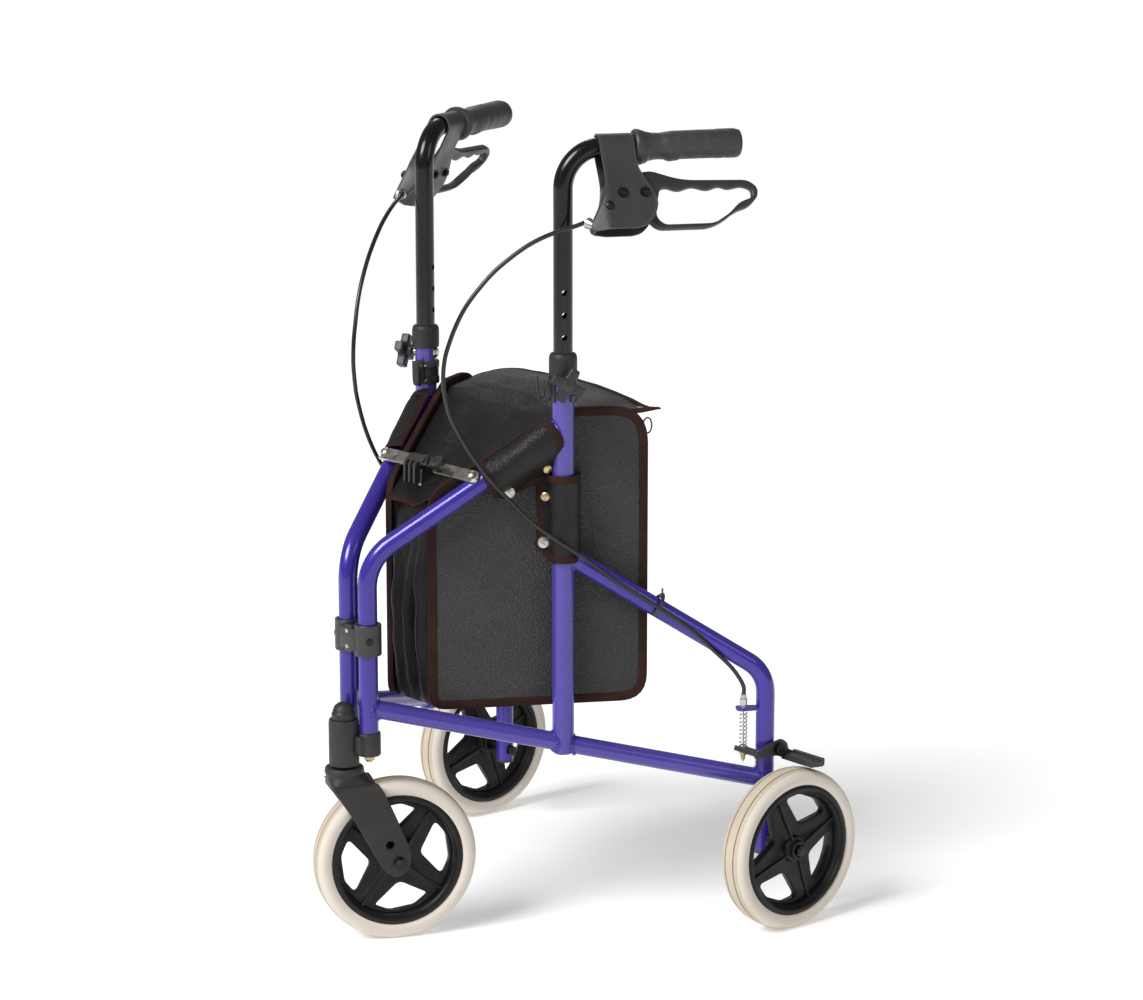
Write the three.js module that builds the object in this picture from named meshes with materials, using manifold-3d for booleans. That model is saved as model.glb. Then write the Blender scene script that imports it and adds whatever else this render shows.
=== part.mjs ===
// Folding three-wheeled rollator walker: two mirrored tube frames hinged on a front bracket
// with one caster, a folding brace, height-adjustable handles, loop brakes and a hanging bag.
// Millimetres. +Z is up, -Y is the front, +X is the user's left, and X = 0 is the plane of symmetry.
import * as THREE from 'three';
import { mergeVertices } from 'three/addons/utils/BufferGeometryUtils.js';
import Module from 'manifold-3d';

const wasm = await Module();
wasm.setup();

// ---- driving dimensions ----
const gap = 0.3;                    // clearance between faces that meet
const slideGap = 0.4;               // clearance round the sliding handle tube
const tubeSides = 12;               // flat facets round a tube
const wheelSides = 28;              // flat facets round a wheel
const postOffset = 18.6;            // front post axis from the symmetry plane
const splay = 0.507;                // each frame's angle from the symmetry plane, open (29 degrees)
const uprightS = 225;               // upright's distance behind the front post, along the frame
const rearS = 464;                  // rear post's distance behind the front post
const tubeR = 11;                   // frame tube
const uprightR = 12.7;              // upright tube
const handleR = 11;                 // sliding handle tube
const postBottomZ = 249.5;
const frontBendZ = 450;
const diagonalTopZ = 595;           // front diagonal meets the upright
const rearDiagonalZ = 449.5;        // rear diagonal leaves the upright
const rearBendZ = 297;
const rearPostBottomZ = 80.5;
const lowerFrontZ = 277.3;
const lowerRearZ = 168.2;
const uprightTopZ = 668;
const boreBottomZ = 400;            // bottom of the bore that takes the handle tube
const collarBottomZ = 654;
const collarTopZ = 680;
const knobZ = 647.5;
const handleBottomZ = 500;
const handleZ = 911;                // axis of the horizontal handle
const handleBendR = 46;
const handleTurn = 0.068;           // handle's turn inwards from the frame's own plane (4 degrees)
const brakeTilt = 0.49;             // brake set's turn about the handle, its bottom outwards (28 degrees)
const holePitch = 25.4;             // height holes in the handle tube
const gripStart = 81;               // grip, along the handle from the upright's axis
const gripEnd = 205;
const leverPivot = 83.8;            // lever pin, along the handle from the upright's axis
const leverDrop = 61;               // lever pin, below the handle's axis
const housingHalf = 15.5;
const housingWall = 3;
const wheelR = 95;
const tyreHalf = 17.5;
const rimR = 77.5;
const wheelOffset = 44;             // wheel's mid-plane outboard of the rear post
const rearSpokeTurn = 1.19;         // a spoke's turn from upright
const frontSpokeTurn = 0.66;
const axleR = 4;
const stemY = -22;                  // caster stem axis
const trail = 58;
const casterTurn = 0.4;             // caster's turn at rest, towards the user's left
const braceS = 127;                 // brace rivets along the diagonals
const linkLevel = 13.8;             // the lower link's underside above the diagonals' axes
const linkHalf = 8;
const linkT = 2.5;
const linkEnd = 11.5;               // each link ends this far short of the middle, under the latch
const latchPin = 22;                // the latch's pin in the upper link, from the middle
const clipLift = 14;                // the left hook clip sits higher than the right one
const panelFace = 16.2;             // bag panel's outer face, inboard of the frame plane
const panelT = 6;
const bagBottomZ = 268;
const bagFrontS = 73;
const bagBackS = 325;
const cableR = 2.5;
const stopS = 438;                  // cable stop, ahead of the rear post
const stopZ = 250;
const brakePivotY = 6;              // brake pivot behind the rear post's axis
const brakePivotZ = 208;

const sinA = Math.sin(splay);
const cosA = Math.cos(splay);
const X = new THREE.Vector3(1, 0, 0);
const Y = new THREE.Vector3(0, 1, 0);
const Z = new THREE.Vector3(0, 0, 1);
const v3 = (x, y, z) => new THREE.Vector3(x, y, z);

// ---- colours ----
const purple = 0x3b2f92;
const black = 0x17171a;
const plasticGrey = 0x2c2d30;
const plateGrey = 0x2b2b2f;
const vinyl = 0x1e1e20;
const cream = 0xcfc6ba;
const nickel = 0xb9b4a6;
const brass = 0xb09a55;

// ---- solids ----
function solid(geometry) {
  const bare = geometry.clone();
  bare.deleteAttribute('normal');
  bare.deleteAttribute('uv');
  const merged = mergeVertices(bare, 1e-4);
  const vertProperties = new Float32Array(merged.attributes.position.array);
  const triVerts = new Uint32Array(merged.index.array);
  return new wasm.Manifold(new wasm.Mesh({ numProp: 3, vertProperties, triVerts }));
}

function geometryOf(manifold) {
  const mesh = manifold.getMesh();
  const geometry = new THREE.BufferGeometry();
  geometry.setAttribute('position', new THREE.BufferAttribute(new Float32Array(mesh.vertProperties), 3));
  geometry.setIndex(new THREE.BufferAttribute(new Uint32Array(mesh.triVerts), 1));
  geometry.computeVertexNormals();
  return geometry;
}

function join(...shapes) {
  return geometryOf(shapes.map(solid).reduce((a, b) => a.add(b)));
}

function cut(shape, ...tools) {
  return geometryOf(tools.map(solid).reduce((a, b) => a.subtract(b), solid(shape)));
}

function common(shapeA, shapeB) {
  return geometryOf(solid(shapeA).intersect(solid(shapeB)));
}

// ---- shapes ----
// A round bar between two points.
function rod(from, to, radius, sides = 12) {
  const along = to.clone().sub(from);
  const bar = new THREE.CylinderGeometry(radius, radius, along.length(), sides);
  bar.rotateY(Math.PI / sides);
  bar.applyQuaternion(new THREE.Quaternion().setFromUnitVectors(Y, along.clone().normalize()));
  const middle = from.clone().add(to).multiplyScalar(0.5);
  return bar.translate(middle.x, middle.y, middle.z);
}

function box(low, high) {
  const size = high.clone().sub(low);
  const middle = low.clone().add(high).multiplyScalar(0.5);
  return new THREE.BoxGeometry(size.x, size.y, size.z).translate(middle.x, middle.y, middle.z);
}

// A turned part: [radius, height] pairs about an axis through a point.
function turned(profile, base, axis, sides = 16) {
  const points = profile.map(([r, h]) => new THREE.Vector2(r, h));
  const shape = new THREE.LatheGeometry(points, sides);
  shape.rotateY(Math.PI / sides);
  shape.applyQuaternion(new THREE.Quaternion().setFromUnitVectors(Y, axis));
  return shape.translate(base.x, base.y, base.z);
}

// A hollow ring between two heights.
function ring(inner, outer, low, high, base, axis, sides = 16) {
  const profile = [[inner, low], [outer, low], [outer, high], [inner, high], [inner, low]];
  return turned(profile, base, axis, sides);
}

// A path held as stations, each with its own point and direction.
class StationPath extends THREE.Curve {
  constructor(points, tangents) {
    super();
    this.points = points;
    this.tangents = tangents;
  }

  at(list, t) {
    const place = Math.min(t, 1) * (list.length - 1);
    const low = Math.min(Math.floor(place + 1e-9), list.length - 1);
    const high = Math.min(low + 1, list.length - 1);
    return list[low].clone().lerp(list[high], Math.max(place - low, 0));
  }

  getPoint(t) {
    return this.at(this.points, t);
  }

  getPointAt(t) {
    return this.getPoint(t);
  }

  getTangent(t) {
    return this.at(this.tangents, t).normalize();
  }

  getTangentAt(t) {
    return this.getTangent(t);
  }
}

function roundSection(radius, sides) {
  const shape = new THREE.Shape();
  for (let i = 0; i < sides; i++) {
    const turn = (2 * Math.PI * (i + 0.5)) / sides;
    const x = radius * Math.cos(turn);
    const y = radius * Math.sin(turn);
    if (i === 0) shape.moveTo(x, y);
    else shape.lineTo(x, y);
  }
  shape.closePath();
  return shape;
}

// A tube with straight runs between corners and an arc of bendR at each inner corner.
function bentTube(corners, bendR, radius, sides = tubeSides, arcSteps = 5) {
  const points = [corners[0]];
  const tangents = [corners[1].clone().sub(corners[0]).normalize()];
  for (let i = 1; i < corners.length - 1; i++) {
    const into = corners[i].clone().sub(corners[i - 1]).normalize();
    const out = corners[i + 1].clone().sub(corners[i]).normalize();
    const turn = into.angleTo(out);
    const setback = bendR * Math.tan(turn / 2);
    const start = corners[i].clone().addScaledVector(into, -setback);
    const axis = into.clone().cross(out).normalize();
    const side = axis.clone().cross(into).normalize();
    const centre = start.clone().addScaledVector(side, bendR);
    for (let k = 0; k <= arcSteps; k++) {
      const spin = new THREE.Quaternion().setFromAxisAngle(axis, (turn * k) / arcSteps);
      points.push(start.clone().sub(centre).applyQuaternion(spin).add(centre));
      tangents.push(into.clone().applyQuaternion(spin));
    }
  }
  const last = corners.length - 1;
  points.push(corners[last]);
  tangents.push(corners[last].clone().sub(corners[last - 1]).normalize());
  return new THREE.ExtrudeGeometry(roundSection(radius, sides), {
    steps: points.length - 1, extrudePath: new StationPath(points, tangents),
  });
}

function cord(route, radius, steps, sides = 8) {
  const curve = new THREE.CatmullRomCurve3(route, false, 'centripetal');
  return new THREE.ExtrudeGeometry(roundSection(radius, sides), { steps, extrudePath: curve });
}

// An outline in the frame's plane (distance along the frame, height), between two depths.
function plate(outline, low, high) {
  const shape = outline instanceof THREE.Shape ? outline : outlineShape(outline);
  const flat = new THREE.ExtrudeGeometry(shape, { depth: high - low, bevelEnabled: false, curveSegments: 3 });
  flat.rotateX(Math.PI / 2);
  return flat.translate(0, high, 0);
}

function outlineShape(points) {
  return new THREE.Shape(points.map(([x, y]) => new THREE.Vector2(x, y)));
}

// A polygon whose corners are rounded: [x, y, radius] for each corner.
function roundedOutline(corners) {
  const shape = new THREE.Shape();
  corners.forEach(([x, y, r], i) => {
    const before = corners[(i + corners.length - 1) % corners.length];
    const after = corners[(i + 1) % corners.length];
    const here = new THREE.Vector2(x, y);
    const into = here.clone().sub(new THREE.Vector2(before[0], before[1])).normalize();
    const out = new THREE.Vector2(after[0], after[1]).sub(here).normalize();
    const start = here.clone().addScaledVector(into, -r);
    const end = here.clone().addScaledVector(out, r);
    if (i === 0) shape.moveTo(start.x, start.y);
    else shape.lineTo(start.x, start.y);
    if (r > 0) shape.quadraticCurveTo(x, y, end.x, end.y);
  });
  shape.closePath();
  return shape;
}

function named(name, geometry, colour, roughness, metalness = 0) {
  const material = new THREE.MeshStandardMaterial({ color: colour, roughness, metalness });
  const mesh = new THREE.Mesh(geometry, material);
  mesh.name = name;
  return mesh;
}

// ---- one side's frame, in its own plane: x runs back along the frame, y runs inboard ----
const post = rod(v3(0, 0, 0), v3(0, 0, frontBendZ), tubeR + gap, tubeSides);
const lowerAxis = [v3(0, 0, lowerFrontZ), v3(rearS, 0, lowerRearZ)];
const lowerZ = (s) => lowerFrontZ + ((lowerRearZ - lowerFrontZ) * s) / rearS;
const diagonalZ = (s) => frontBendZ + ((diagonalTopZ - frontBendZ) * s) / uprightS;
const outboard = v3(sinA, -cosA, 0);     // world +X, seen from the frame's own axes

function frontTube() {
  const corners = [v3(0, 0, postBottomZ), v3(0, 0, frontBendZ), v3(uprightS, 0, diagonalTopZ)];
  const upright = rod(v3(uprightS, 0, 500), v3(uprightS, 0, 700), uprightR + gap, tubeSides);
  const boltHole = rod(v3(0, 0, postBottomZ - 1), v3(0, 0, postBottomZ + 24), axleR + gap);
  return cut(bentTube(corners, 60, tubeR), upright, boltHole);
}

function uprightTube() {
  const bar = rod(v3(uprightS, 0, lowerZ(uprightS)), v3(uprightS, 0, uprightTopZ), uprightR, tubeSides);
  const boreTop = v3(uprightS, 0, uprightTopZ + 1);
  const bore = rod(v3(uprightS, 0, boreBottomZ), boreTop, handleR + slideGap, tubeSides);
  const screwHole = rod(v3(uprightS, 0, knobZ), v3(uprightS, -20, knobZ), 3.4);
  const lower = rod(lowerAxis[0], lowerAxis[1], tubeR + gap, tubeSides);
  return cut(bar, bore, screwHole, lower);
}

function lowerTube() {
  const rearPost = rod(v3(rearS, 0, 60), v3(rearS, 0, 300), tubeR + gap, tubeSides);
  return cut(rod(lowerAxis[0], lowerAxis[1], tubeR, tubeSides), post, rearPost);
}

function rearTube() {
  const corners = [v3(uprightS, 0, rearDiagonalZ), v3(rearS, 0, rearBendZ), v3(rearS, 0, rearPostBottomZ)];
  const upright = rod(v3(uprightS, 0, 400), v3(uprightS, 0, 520), uprightR + gap, tubeSides);
  const hub = v3(rearS, 0, wheelR);
  const axleHole = rod(hub.clone().addScaledVector(outboard, -20),
    hub.clone().addScaledVector(outboard, 20), axleR + gap);
  const pivot = brakePivot();
  const pivotHole = rod(pivot.clone().addScaledVector(outboard, -30),
    pivot.clone().addScaledVector(outboard, 30), axleR + gap);
  return cut(bentTube(corners, 45, tubeR), upright, axleHole, pivotHole);
}

// The brake pivot's point beside the rear post, in the frame's own axes.
function brakePivot() {
  const back = v3(cosA, sinA, 0);        // world +Y
  return v3(rearS, 0, brakePivotZ).addScaledVector(back, brakePivotY);
}

function collar() {
  const profile = [
    [uprightR + gap, collarBottomZ], [16, collarBottomZ], [16, 675], [14.6, collarTopZ],
    [handleR + slideGap, collarTopZ], [handleR + slideGap, uprightTopZ + gap],
    [uprightR + gap, uprightTopZ + gap], [uprightR + gap, collarBottomZ],
  ];
  return turned(profile, v3(uprightS, 0, 0), Z, tubeSides);
}

// A springy clip, open outboard, with a strip hook at its front. lift raises it on the upright.
function hookClip(lift) {
  const low = 612 + lift;
  const high = 636 + lift;
  const band = ring(uprightR + gap, 16.5, low, high, v3(uprightS, 0, 0), Z, tubeSides);
  const mouth = box(v3(uprightS - 6, -20, low - 1), v3(uprightS + 10, 0, high + 1));
  const ear = box(v3(uprightS - 22, -5, low + 4), v3(uprightS - 14, 5, high - 4));
  const wires = [-3.2, 3.2].map((y) => bentTube(
    [v3(uprightS - 18, y, low + 12), v3(uprightS - 29, y, low + 12), v3(uprightS - 29, y, low + 32)],
    5, 1.8, 6, 2));
  const crossbar = rod(v3(uprightS - 29, -5, low + 31), v3(uprightS - 29, 5, low + 31), 1.8, 6);
  return join(cut(band, mouth), ear, ...wires, crossbar);
}

function handleTube() {
  const end = v3(gripEnd - 6, 0, 0).applyAxisAngle(Z, handleTurn).add(v3(uprightS, 0, handleZ));
  const corners = [v3(uprightS, 0, handleBottomZ), v3(uprightS, 0, handleZ), end];
  const holes = [-1, 0, 2, 3, 4].map((i) => {
    const z = knobZ + holePitch * i;
    return rod(v3(uprightS, -20, z), v3(uprightS, 20, z), 3.3, 6);
  });
  return cut(bentTube(corners, handleBendR, handleR, tubeSides, 7), ...holes);
}

// ---- the handle's own frame: x runs back along the handle from the upright's axis, z up from it ----
function grip() {
  const bore = handleR + gap;
  const profile = [[0, gripEnd - 5.6], [bore, gripEnd - 5.6], [bore, gripStart], [18.6, gripStart],
    [18.6, gripStart + 3.5], [15, gripStart + 7], [14.6, gripStart + 11]];
  const bumps = 4;
  const first = gripStart + 16;
  const pitch = (gripEnd - 12 - first) / bumps;
  for (let i = 0; i <= bumps; i++) {
    profile.push([16.4, first + pitch * i]);
    if (i < bumps) profile.push([15.5, first + pitch * (i + 0.5)]);
  }
  profile.push([16, gripEnd - 4], [13, gripEnd], [0, gripEnd]);
  return turned(profile, v3(0, 0, 0), X, tubeSides);
}

// ---- the brake set's frame: the handle's own, tilted about the handle ----
function brakeHousing() {
  const outer = plate(roundedOutline([
    [38, 14, 4], [78.5, 14, 4], [78.5, -28, 6], [99, -70, 8], [95, -88, 8], [84, -103, 6],
    [24, -102, 3], [20, -97, 3], [37, -66, 8], [40.5, -44, 6],
  ]), -housingHalf, housingHalf);
  const innerHalf = housingHalf - housingWall;
  const inside = plate([
    [30, -9], [110, -9], [110, -112], [27, -112], [26.5, -97], [41, -67], [43.5, -50], [30, -50],
  ], -innerHalf, innerHalf);
  const down = v3(0, 0, -150).applyAxisAngle(X, brakeTilt);
  const tube = bentTube([down, v3(0, 0, 0), v3(gripEnd, 0, 0)], handleBendR, handleR + gap, tubeSides, 7);
  const pin = rod(leverAxis(-20), leverAxis(20), 3 + gap);
  return cut(outer, inside, tube, pin);
}

function leverAxis(y) {
  return v3(leverPivot, y, -leverDrop);
}

function leverPin() {
  const seat = housingHalf + gap;
  return join(rod(leverAxis(-16), leverAxis(16), 3), rod(leverAxis(-19.5), leverAxis(-seat), 6),
    rod(leverAxis(seat), leverAxis(19.5), 6));
}

function brakeLever() {
  const outline = roundedOutline([
    [80, -34, 5], [96, -32, 6], [130, -44, 16], [207, -46, 7], [217.5, -55, 5], [217, -66, 5],
    [205, -78, 7], [190, -82.5, 7], [160, -101.5, 14], [96, -101.5, 8], [84, -88, 5], [76, -72, 6],
    [74, -52, 6],
  ]);
  const loop = roundedOutline([
    [104, -54, 4], [112, -52, 4], [125, -57, 6], [142, -51.5, 6], [159, -57, 6], [173, -52, 5],
    [183, -56, 4], [200, -53, 5], [210, -57, 4], [210, -67, 4], [195, -72, 5], [180, -86, 8],
    [163, -96, 8], [104, -96, 6], [96.5, -87, 5], [97.5, -76, 4],
  ]);
  const bore = rod(leverAxis(-10), leverAxis(10), 3.5);
  return cut(plate(outline, -4.5, 4.5), plate(loop, -6, 6), bore);
}

function starKnob() {
  const shape = new THREE.Shape();
  const arms = 4;
  const armTurn = 0.49;               // the first arm's turn from straight up
  for (let i = 0; i < arms * 2; i++) {
    const turn = (Math.PI * i) / arms + armTurn;
    const r = i % 2 === 0 ? 21 : 10.5;
    const spread = i % 2 === 0 ? 0.24 : 0.3;
    for (const side of [-spread, spread]) {
      const x = r * Math.sin(turn + side);
      const y = r * Math.cos(turn + side);
      if (i === 0 && side < 0) shape.moveTo(x, y);
      else shape.lineTo(x, y);
    }
  }
  shape.closePath();
  const star = plate(shape, -33, -21).translate(uprightS, 0, knobZ);
  const hub = rod(v3(uprightS, -22, knobZ), v3(uprightS, -16.4, knobZ), 8, 16);
  const screw = rod(v3(uprightS, -20, knobZ), v3(uprightS, -11.6, knobZ), 3, 12);
  return join(star, hub, screw);
}

// The cable's route from the brake housing to the adjuster on the cable stop.
const cableRoute = [
  [244, -37, 832], [232, -36, 827.5], [213, -34.5, 822], [189, -33, 812], [169, -32.3, 800],
  [143.6, -31.4, 780], [125, -31, 760], [110, -30.3, 740], [99.4, -29.8, 720], [91.6, -29, 700],
  [86, -28.8, 680], [84.3, -28.9, 655], [88.3, -29, 630], [94, -29.1, 612], [111.6, -29.2, 578],
  [134, -28.4, 546], [158, -26.5, 518.9], [185, -23.5, 491], [212, -20.5, 469.5], [232, -18.6, 455.5],
  [250, -17.4, 442.8], [268, -16.4, 428.8], [292, -15.6, 411], [334, -15.2, 383], [372, -15, 355],
  [398, -12, 330], [420, -6, 308], [432, -2, 292], [stopS, 0, 280], [stopS, 0, 270.6],
].map(([s, y, z]) => v3(s, y, z));

function cableStop() {
  const tongue = join(box(v3(stopS, -5, stopZ), v3(rearS, 5, stopZ + 3)),
    rod(v3(stopS, 0, stopZ), v3(stopS, 0, stopZ + 3), 8, 12));
  const rearPost = rod(v3(rearS, 0, 200), v3(rearS, 0, 280), tubeR + gap, tubeSides);
  const adjuster = rod(v3(stopS, 0, stopZ + 1), v3(stopS, 0, 270), 4.2, 12);
  const hole = rod(v3(stopS, 0, stopZ - 1), v3(stopS, 0, 271), 1.6, 8);
  return cut(join(tongue, adjuster), rearPost, hole);
}

function brakeSpring() {
  return ring(2.6, 5.4, 211.3, stopZ - gap, v3(stopS, 0, 0), Z, 12);
}

// The brace lies in the plane of the two diagonals: x across, y up the slope, z square to both tubes.
function inBracePlane(geometry) {
  const slope = Math.atan2(diagonalTopZ - frontBendZ, uprightS * cosA);
  return geometry.rotateX(slope).translate(0, braceS * cosA, diagonalZ(braceS));
}

function bracePin(level) {
  const seat = level - gap;
  const head = level + linkT + gap;
  const profile = [[0, 0], [7, 0], [7, seat], [3, seat], [3, head], [6.5, head], [5.2, head + 2.4],
    [0, head + 2.8]];
  const tube = rod(v3(postOffset, 0, frontBendZ),
    v3(postOffset + uprightS * sinA, uprightS * cosA, diagonalTopZ), tubeR + 2 * gap, tubeSides);
  const rivetX = postOffset + braceS * sinA;
  return cut(inBracePlane(turned(profile, v3(rivetX, 0, 0), Z, 12)), tube);
}

// The links rise and tip as the frame folds, so each one ends short of the other.
function braceLink(level) {
  const rivetX = postOffset + braceS * sinA;
  const flat = (x, r, low, high) => rod(v3(x, 0, low), v3(x, 0, high), r, 16);
  const top = level + linkT;
  return inBracePlane(cut(
    join(box(v3(linkEnd + linkHalf, -linkHalf, level), v3(rivetX, linkHalf, top)),
      flat(rivetX, linkHalf, level, top), flat(linkEnd + linkHalf, linkHalf, level, top)),
    flat(rivetX, 3.4, level - 1, top + 1),
    flat(latchPin, 4.6, level - 1, top + 1),
  ));
}

function bagPanel() {
  const outline = roundedOutline([
    [bagFrontS, bagBottomZ, 18], [bagBackS, bagBottomZ, 30], [bagBackS, 612, 42],
    [238, 612, 10], [190, 586, 10], [bagFrontS, 520, 24],
  ]);
  const face = plate(outline, panelFace, panelFace + panelT);
  const sleeveEnds = [137, 204];
  const diagonal = sleeveEnds.map((s) => v3(s, 0, diagonalZ(s)));
  const along = diagonal[1].clone().sub(diagonal[0]).normalize();
  const sleeve = rod(diagonal[0], diagonal[1], tubeR + 3.2, tubeSides);
  const web = box(v3(0, 0, -9), v3(diagonal[0].distanceTo(diagonal[1]), panelFace + 1, 3));
  web.rotateY(-Math.atan2(along.z, along.x)).translate(diagonal[0].x, 0, diagonal[0].z);
  const wrap = rod(v3(uprightS, 0, 462), v3(uprightS, 0, 540), uprightR + 3.2, tubeSides);
  const wrapWeb = box(v3(uprightS - 8, 0, 462), v3(uprightS + 8, panelFace + 1, 540));
  const diagonalTube = rod(v3(0, 0, frontBendZ), v3(uprightS, 0, diagonalTopZ), tubeR + gap, tubeSides);
  const upright = rod(v3(uprightS, 0, 400), v3(uprightS, 0, 700), uprightR + gap, tubeSides);
  return cut(join(face, sleeve, web, wrap, wrapWeb), diagonalTube, upright);
}

// ---- the rear wheel's corner: x runs outboard from the rear post, y runs back ----
function rim(half, spokeTurn) {
  const channel = turned([
    [60, -9], [66, -15], [rimR, -15], [rimR, 15], [66, 15], [60, 9], [60, -9],
  ], v3(0, 0, 0), X, wheelSides);
  const hub = rod(v3(-half, 0, 0), v3(half, 0, 0), 14, 12);
  const spokes = [0, 1, 2, 3].map((i) => (
    box(v3(-5, -8.5, 0), v3(5, 8.5, 63)).rotateX((Math.PI * i) / 2 + spokeTurn)
  ));
  const bore = rod(v3(-half - 1, 0, 0), v3(half + 1, 0, 0), axleR + 0.4);
  return cut(join(channel, hub, ...spokes), bore);
}

function tyre() {
  const inner = rimR + gap;
  return turned([
    [inner, -14.5], [87, -tyreHalf], [wheelR, -6], [wheelR, 6], [87, tyreHalf], [inner, 14.5],
    [inner, -14.5],
  ], v3(0, 0, 0), X, wheelSides);
}

function rearAxle() {
  const at = (x) => v3(x, 0, wheelR);
  const shank = rod(at(-17), at(wheelOffset + 20), axleR);
  const head = rod(at(-17), at(-11.8), 7.5, 6);
  const spacer = rod(at(11.6), at(wheelOffset - 18.3), 8, 12);
  const nut = rod(at(wheelOffset + 18.3), at(wheelOffset + 24), 7.5, 6);
  const post1 = rod(v3(0, 0, 60), v3(0, 0, 130), tubeR + gap, tubeSides);
  return join(shank, cut(spacer, post1), nut, cut(head, post1));
}

function brakeArm() {
  const pivot = v3(0, brakePivotY, brakePivotZ);
  const side = plateYZ([
    [-30, 201], [-30, 208], [-8, 215], [12, 218], [20, 212], [22, 204], [30, 200], [30, 192.5],
    [16, 193.5], [4, 199],
  ], 13.6, 17.6);
  const tab = box(v3(-20, -30, 203.5), v3(15, -15.5, 207));
  const shoe = plateYZ([[12, 193.4], [32, 191.6], [31, 199], [14, 200.5]], 15, 66);
  const bore = rod(pivot.clone().setX(10), pivot.clone().setX(20), axleR + 0.5);
  const wireHole = rod(v3(-sinA * 26, -cosA * 26, 200), v3(-sinA * 26, -cosA * 26, 211), 2, 8);
  return cut(join(side, tab, shoe), bore, wireHole);
}

// An outline in the YZ plane between two X positions.
function plateYZ(outline, low, high) {
  const shape = outlineShape(outline);
  const flat = new THREE.ExtrudeGeometry(shape, { depth: high - low, bevelEnabled: false });
  flat.rotateX(Math.PI / 2).rotateZ(Math.PI / 2);
  return flat.translate(low, 0, 0);
}

function brakePivotBolt() {
  const at = (x) => v3(x, brakePivotY, brakePivotZ);
  return join(rod(at(-13), at(20), axleR), rod(at(18.2), at(22.5), 7, 6), rod(at(-17), at(-11.6), 7, 6));
}

function makeSide(side) {
  const frame = new THREE.Group();
  frame.position.set(postOffset, 0, 0);
  frame.rotation.z = Math.PI / 2 - splay;
  const level = side === 'left' ? linkLevel : linkLevel + linkT + gap;
  const tag = (name) => `${name}_${side}`;
  frame.add(
    named(tag('front_tube'), frontTube(), purple, 0.25, 0.3),
    named(tag('upright_tube'), uprightTube(), purple, 0.25, 0.3),
    named(tag('lower_tube'), lowerTube(), purple, 0.25, 0.3),
    named(tag('rear_tube'), rearTube(), purple, 0.25, 0.3),
    named(tag('height_collar'), collar(), plasticGrey, 0.6),
    named(tag('hook_clip'), hookClip(side === 'left' ? clipLift : 0), black, 0.5),
    named(tag('handle_tube'), handleTube(), black, 0.2, 0.3),
    named(tag('height_knob'), starKnob(), black, 0.5),
    named(tag('brake_cable'), cord(cableRoute, cableR, 56), black, 0.35),
    named(tag('cable_stop'), cableStop(), purple, 0.3, 0.3),
    named(tag('brake_spring'), brakeSpring(), nickel, 0.3, 1),
    named(tag('bag_panel'), bagPanel(), vinyl, 0.6),
  );

  const handle = new THREE.Group();
  handle.position.set(uprightS, 0, handleZ);
  handle.rotation.z = handleTurn;
  const brakeSet = new THREE.Group();
  brakeSet.rotation.x = -brakeTilt;
  brakeSet.add(
    named(tag('brake_housing'), brakeHousing(), plateGrey, 0.45, 0.4),
    named(tag('lever_pin'), leverPin(), black, 0.4, 0.6),
    named(tag('brake_lever'), brakeLever(), black, 0.4),
  );
  handle.add(brakeSet, named(tag('grip'), grip(), black, 0.8));
  frame.add(handle);

  const corner = new THREE.Group();
  corner.position.set(postOffset + rearS * sinA, rearS * cosA, 0);
  const wheelCentre = v3(wheelOffset, 0, wheelR);
  const rearRim = rim(18, rearSpokeTurn).translate(wheelCentre.x, 0, wheelCentre.z);
  corner.add(
    named(tag('rear_rim'), rearRim, black, 0.5),
    named(tag('rear_tyre'), tyre().translate(wheelCentre.x, 0, wheelCentre.z), cream, 0.8),
    named(tag('rear_axle'), rearAxle(), black, 0.4, 0.6),
    named(tag('brake_arm'), brakeArm(), black, 0.45),
    named(tag('brake_pivot_bolt'), brakePivotBolt(), black, 0.4, 0.6),
  );

  const hinge = v3(postOffset, 0, 0);
  const bolt = join(rod(hinge.clone().setZ(214), hinge.clone().setZ(221.6), 7, 6),
    rod(hinge.clone().setZ(221), hinge.clone().setZ(postBottomZ + 21), axleR));
  const whole = new THREE.Group();
  whole.add(frame, corner,
    named(tag('brace_pin'), bracePin(level), nickel, 0.3, 1),
    named(tag('brace_link'), braceLink(level), nickel, 0.3, 1),
    named(tag('post_bolt'), bolt, brass, 0.35, 1));
  if (side === 'right') whole.scale.x = -1;
  return whole;
}

// ---- the centre: bracket, hinge clamp, caster, brace clip and bag ----
function casterBracket() {
  const housing = rod(v3(0, stemY, 206), v3(0, stemY, 265), 17.5, 16);
  const bosses = [-1, 1].map((k) => rod(v3(k * postOffset, 0, 222), v3(k * postOffset, 0, 249), 13.4, 12));
  const web = box(v3(-20, stemY + 4, 224), v3(20, 0, 247));
  const bolts = [-1, 1].map((k) => rod(v3(k * postOffset, 0, 215), v3(k * postOffset, 0, 260), axleR + gap));
  const bore = rod(v3(0, stemY, 200), v3(0, stemY, 270), 8, 12);
  const posts = [-1, 1].map((k) => (
    rod(v3(k * postOffset, 0, 249), v3(k * postOffset, 0, 270), tubeR + 0.8, tubeSides)
  ));
  return cut(join(housing, ...bosses, web), ...bolts, ...posts, bore);
}

function hingeClamp() {
  const low = 340;
  const high = 376;
  const bar = (k, from, to, r) => rod(v3(k * postOffset, 0, from), v3(k * postOffset, 0, to), r, tubeSides);
  const rings = [-1, 1].map((k) => bar(k, low, high, 15.4));
  const posts = [-1, 1].map((k) => bar(k, low - 10, high + 10, tubeR + 0.8));
  return cut(join(...rings, box(v3(-postOffset, -15, low), v3(postOffset, 15, high))), ...posts);
}

function casterCap() {
  return turned([[0, 265.3], [14, 265.3], [14, 268], [11, 270], [10.5, 278], [7, 282.5], [0, 284]],
    v3(0, stemY, 0), Z, 12);
}

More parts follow.
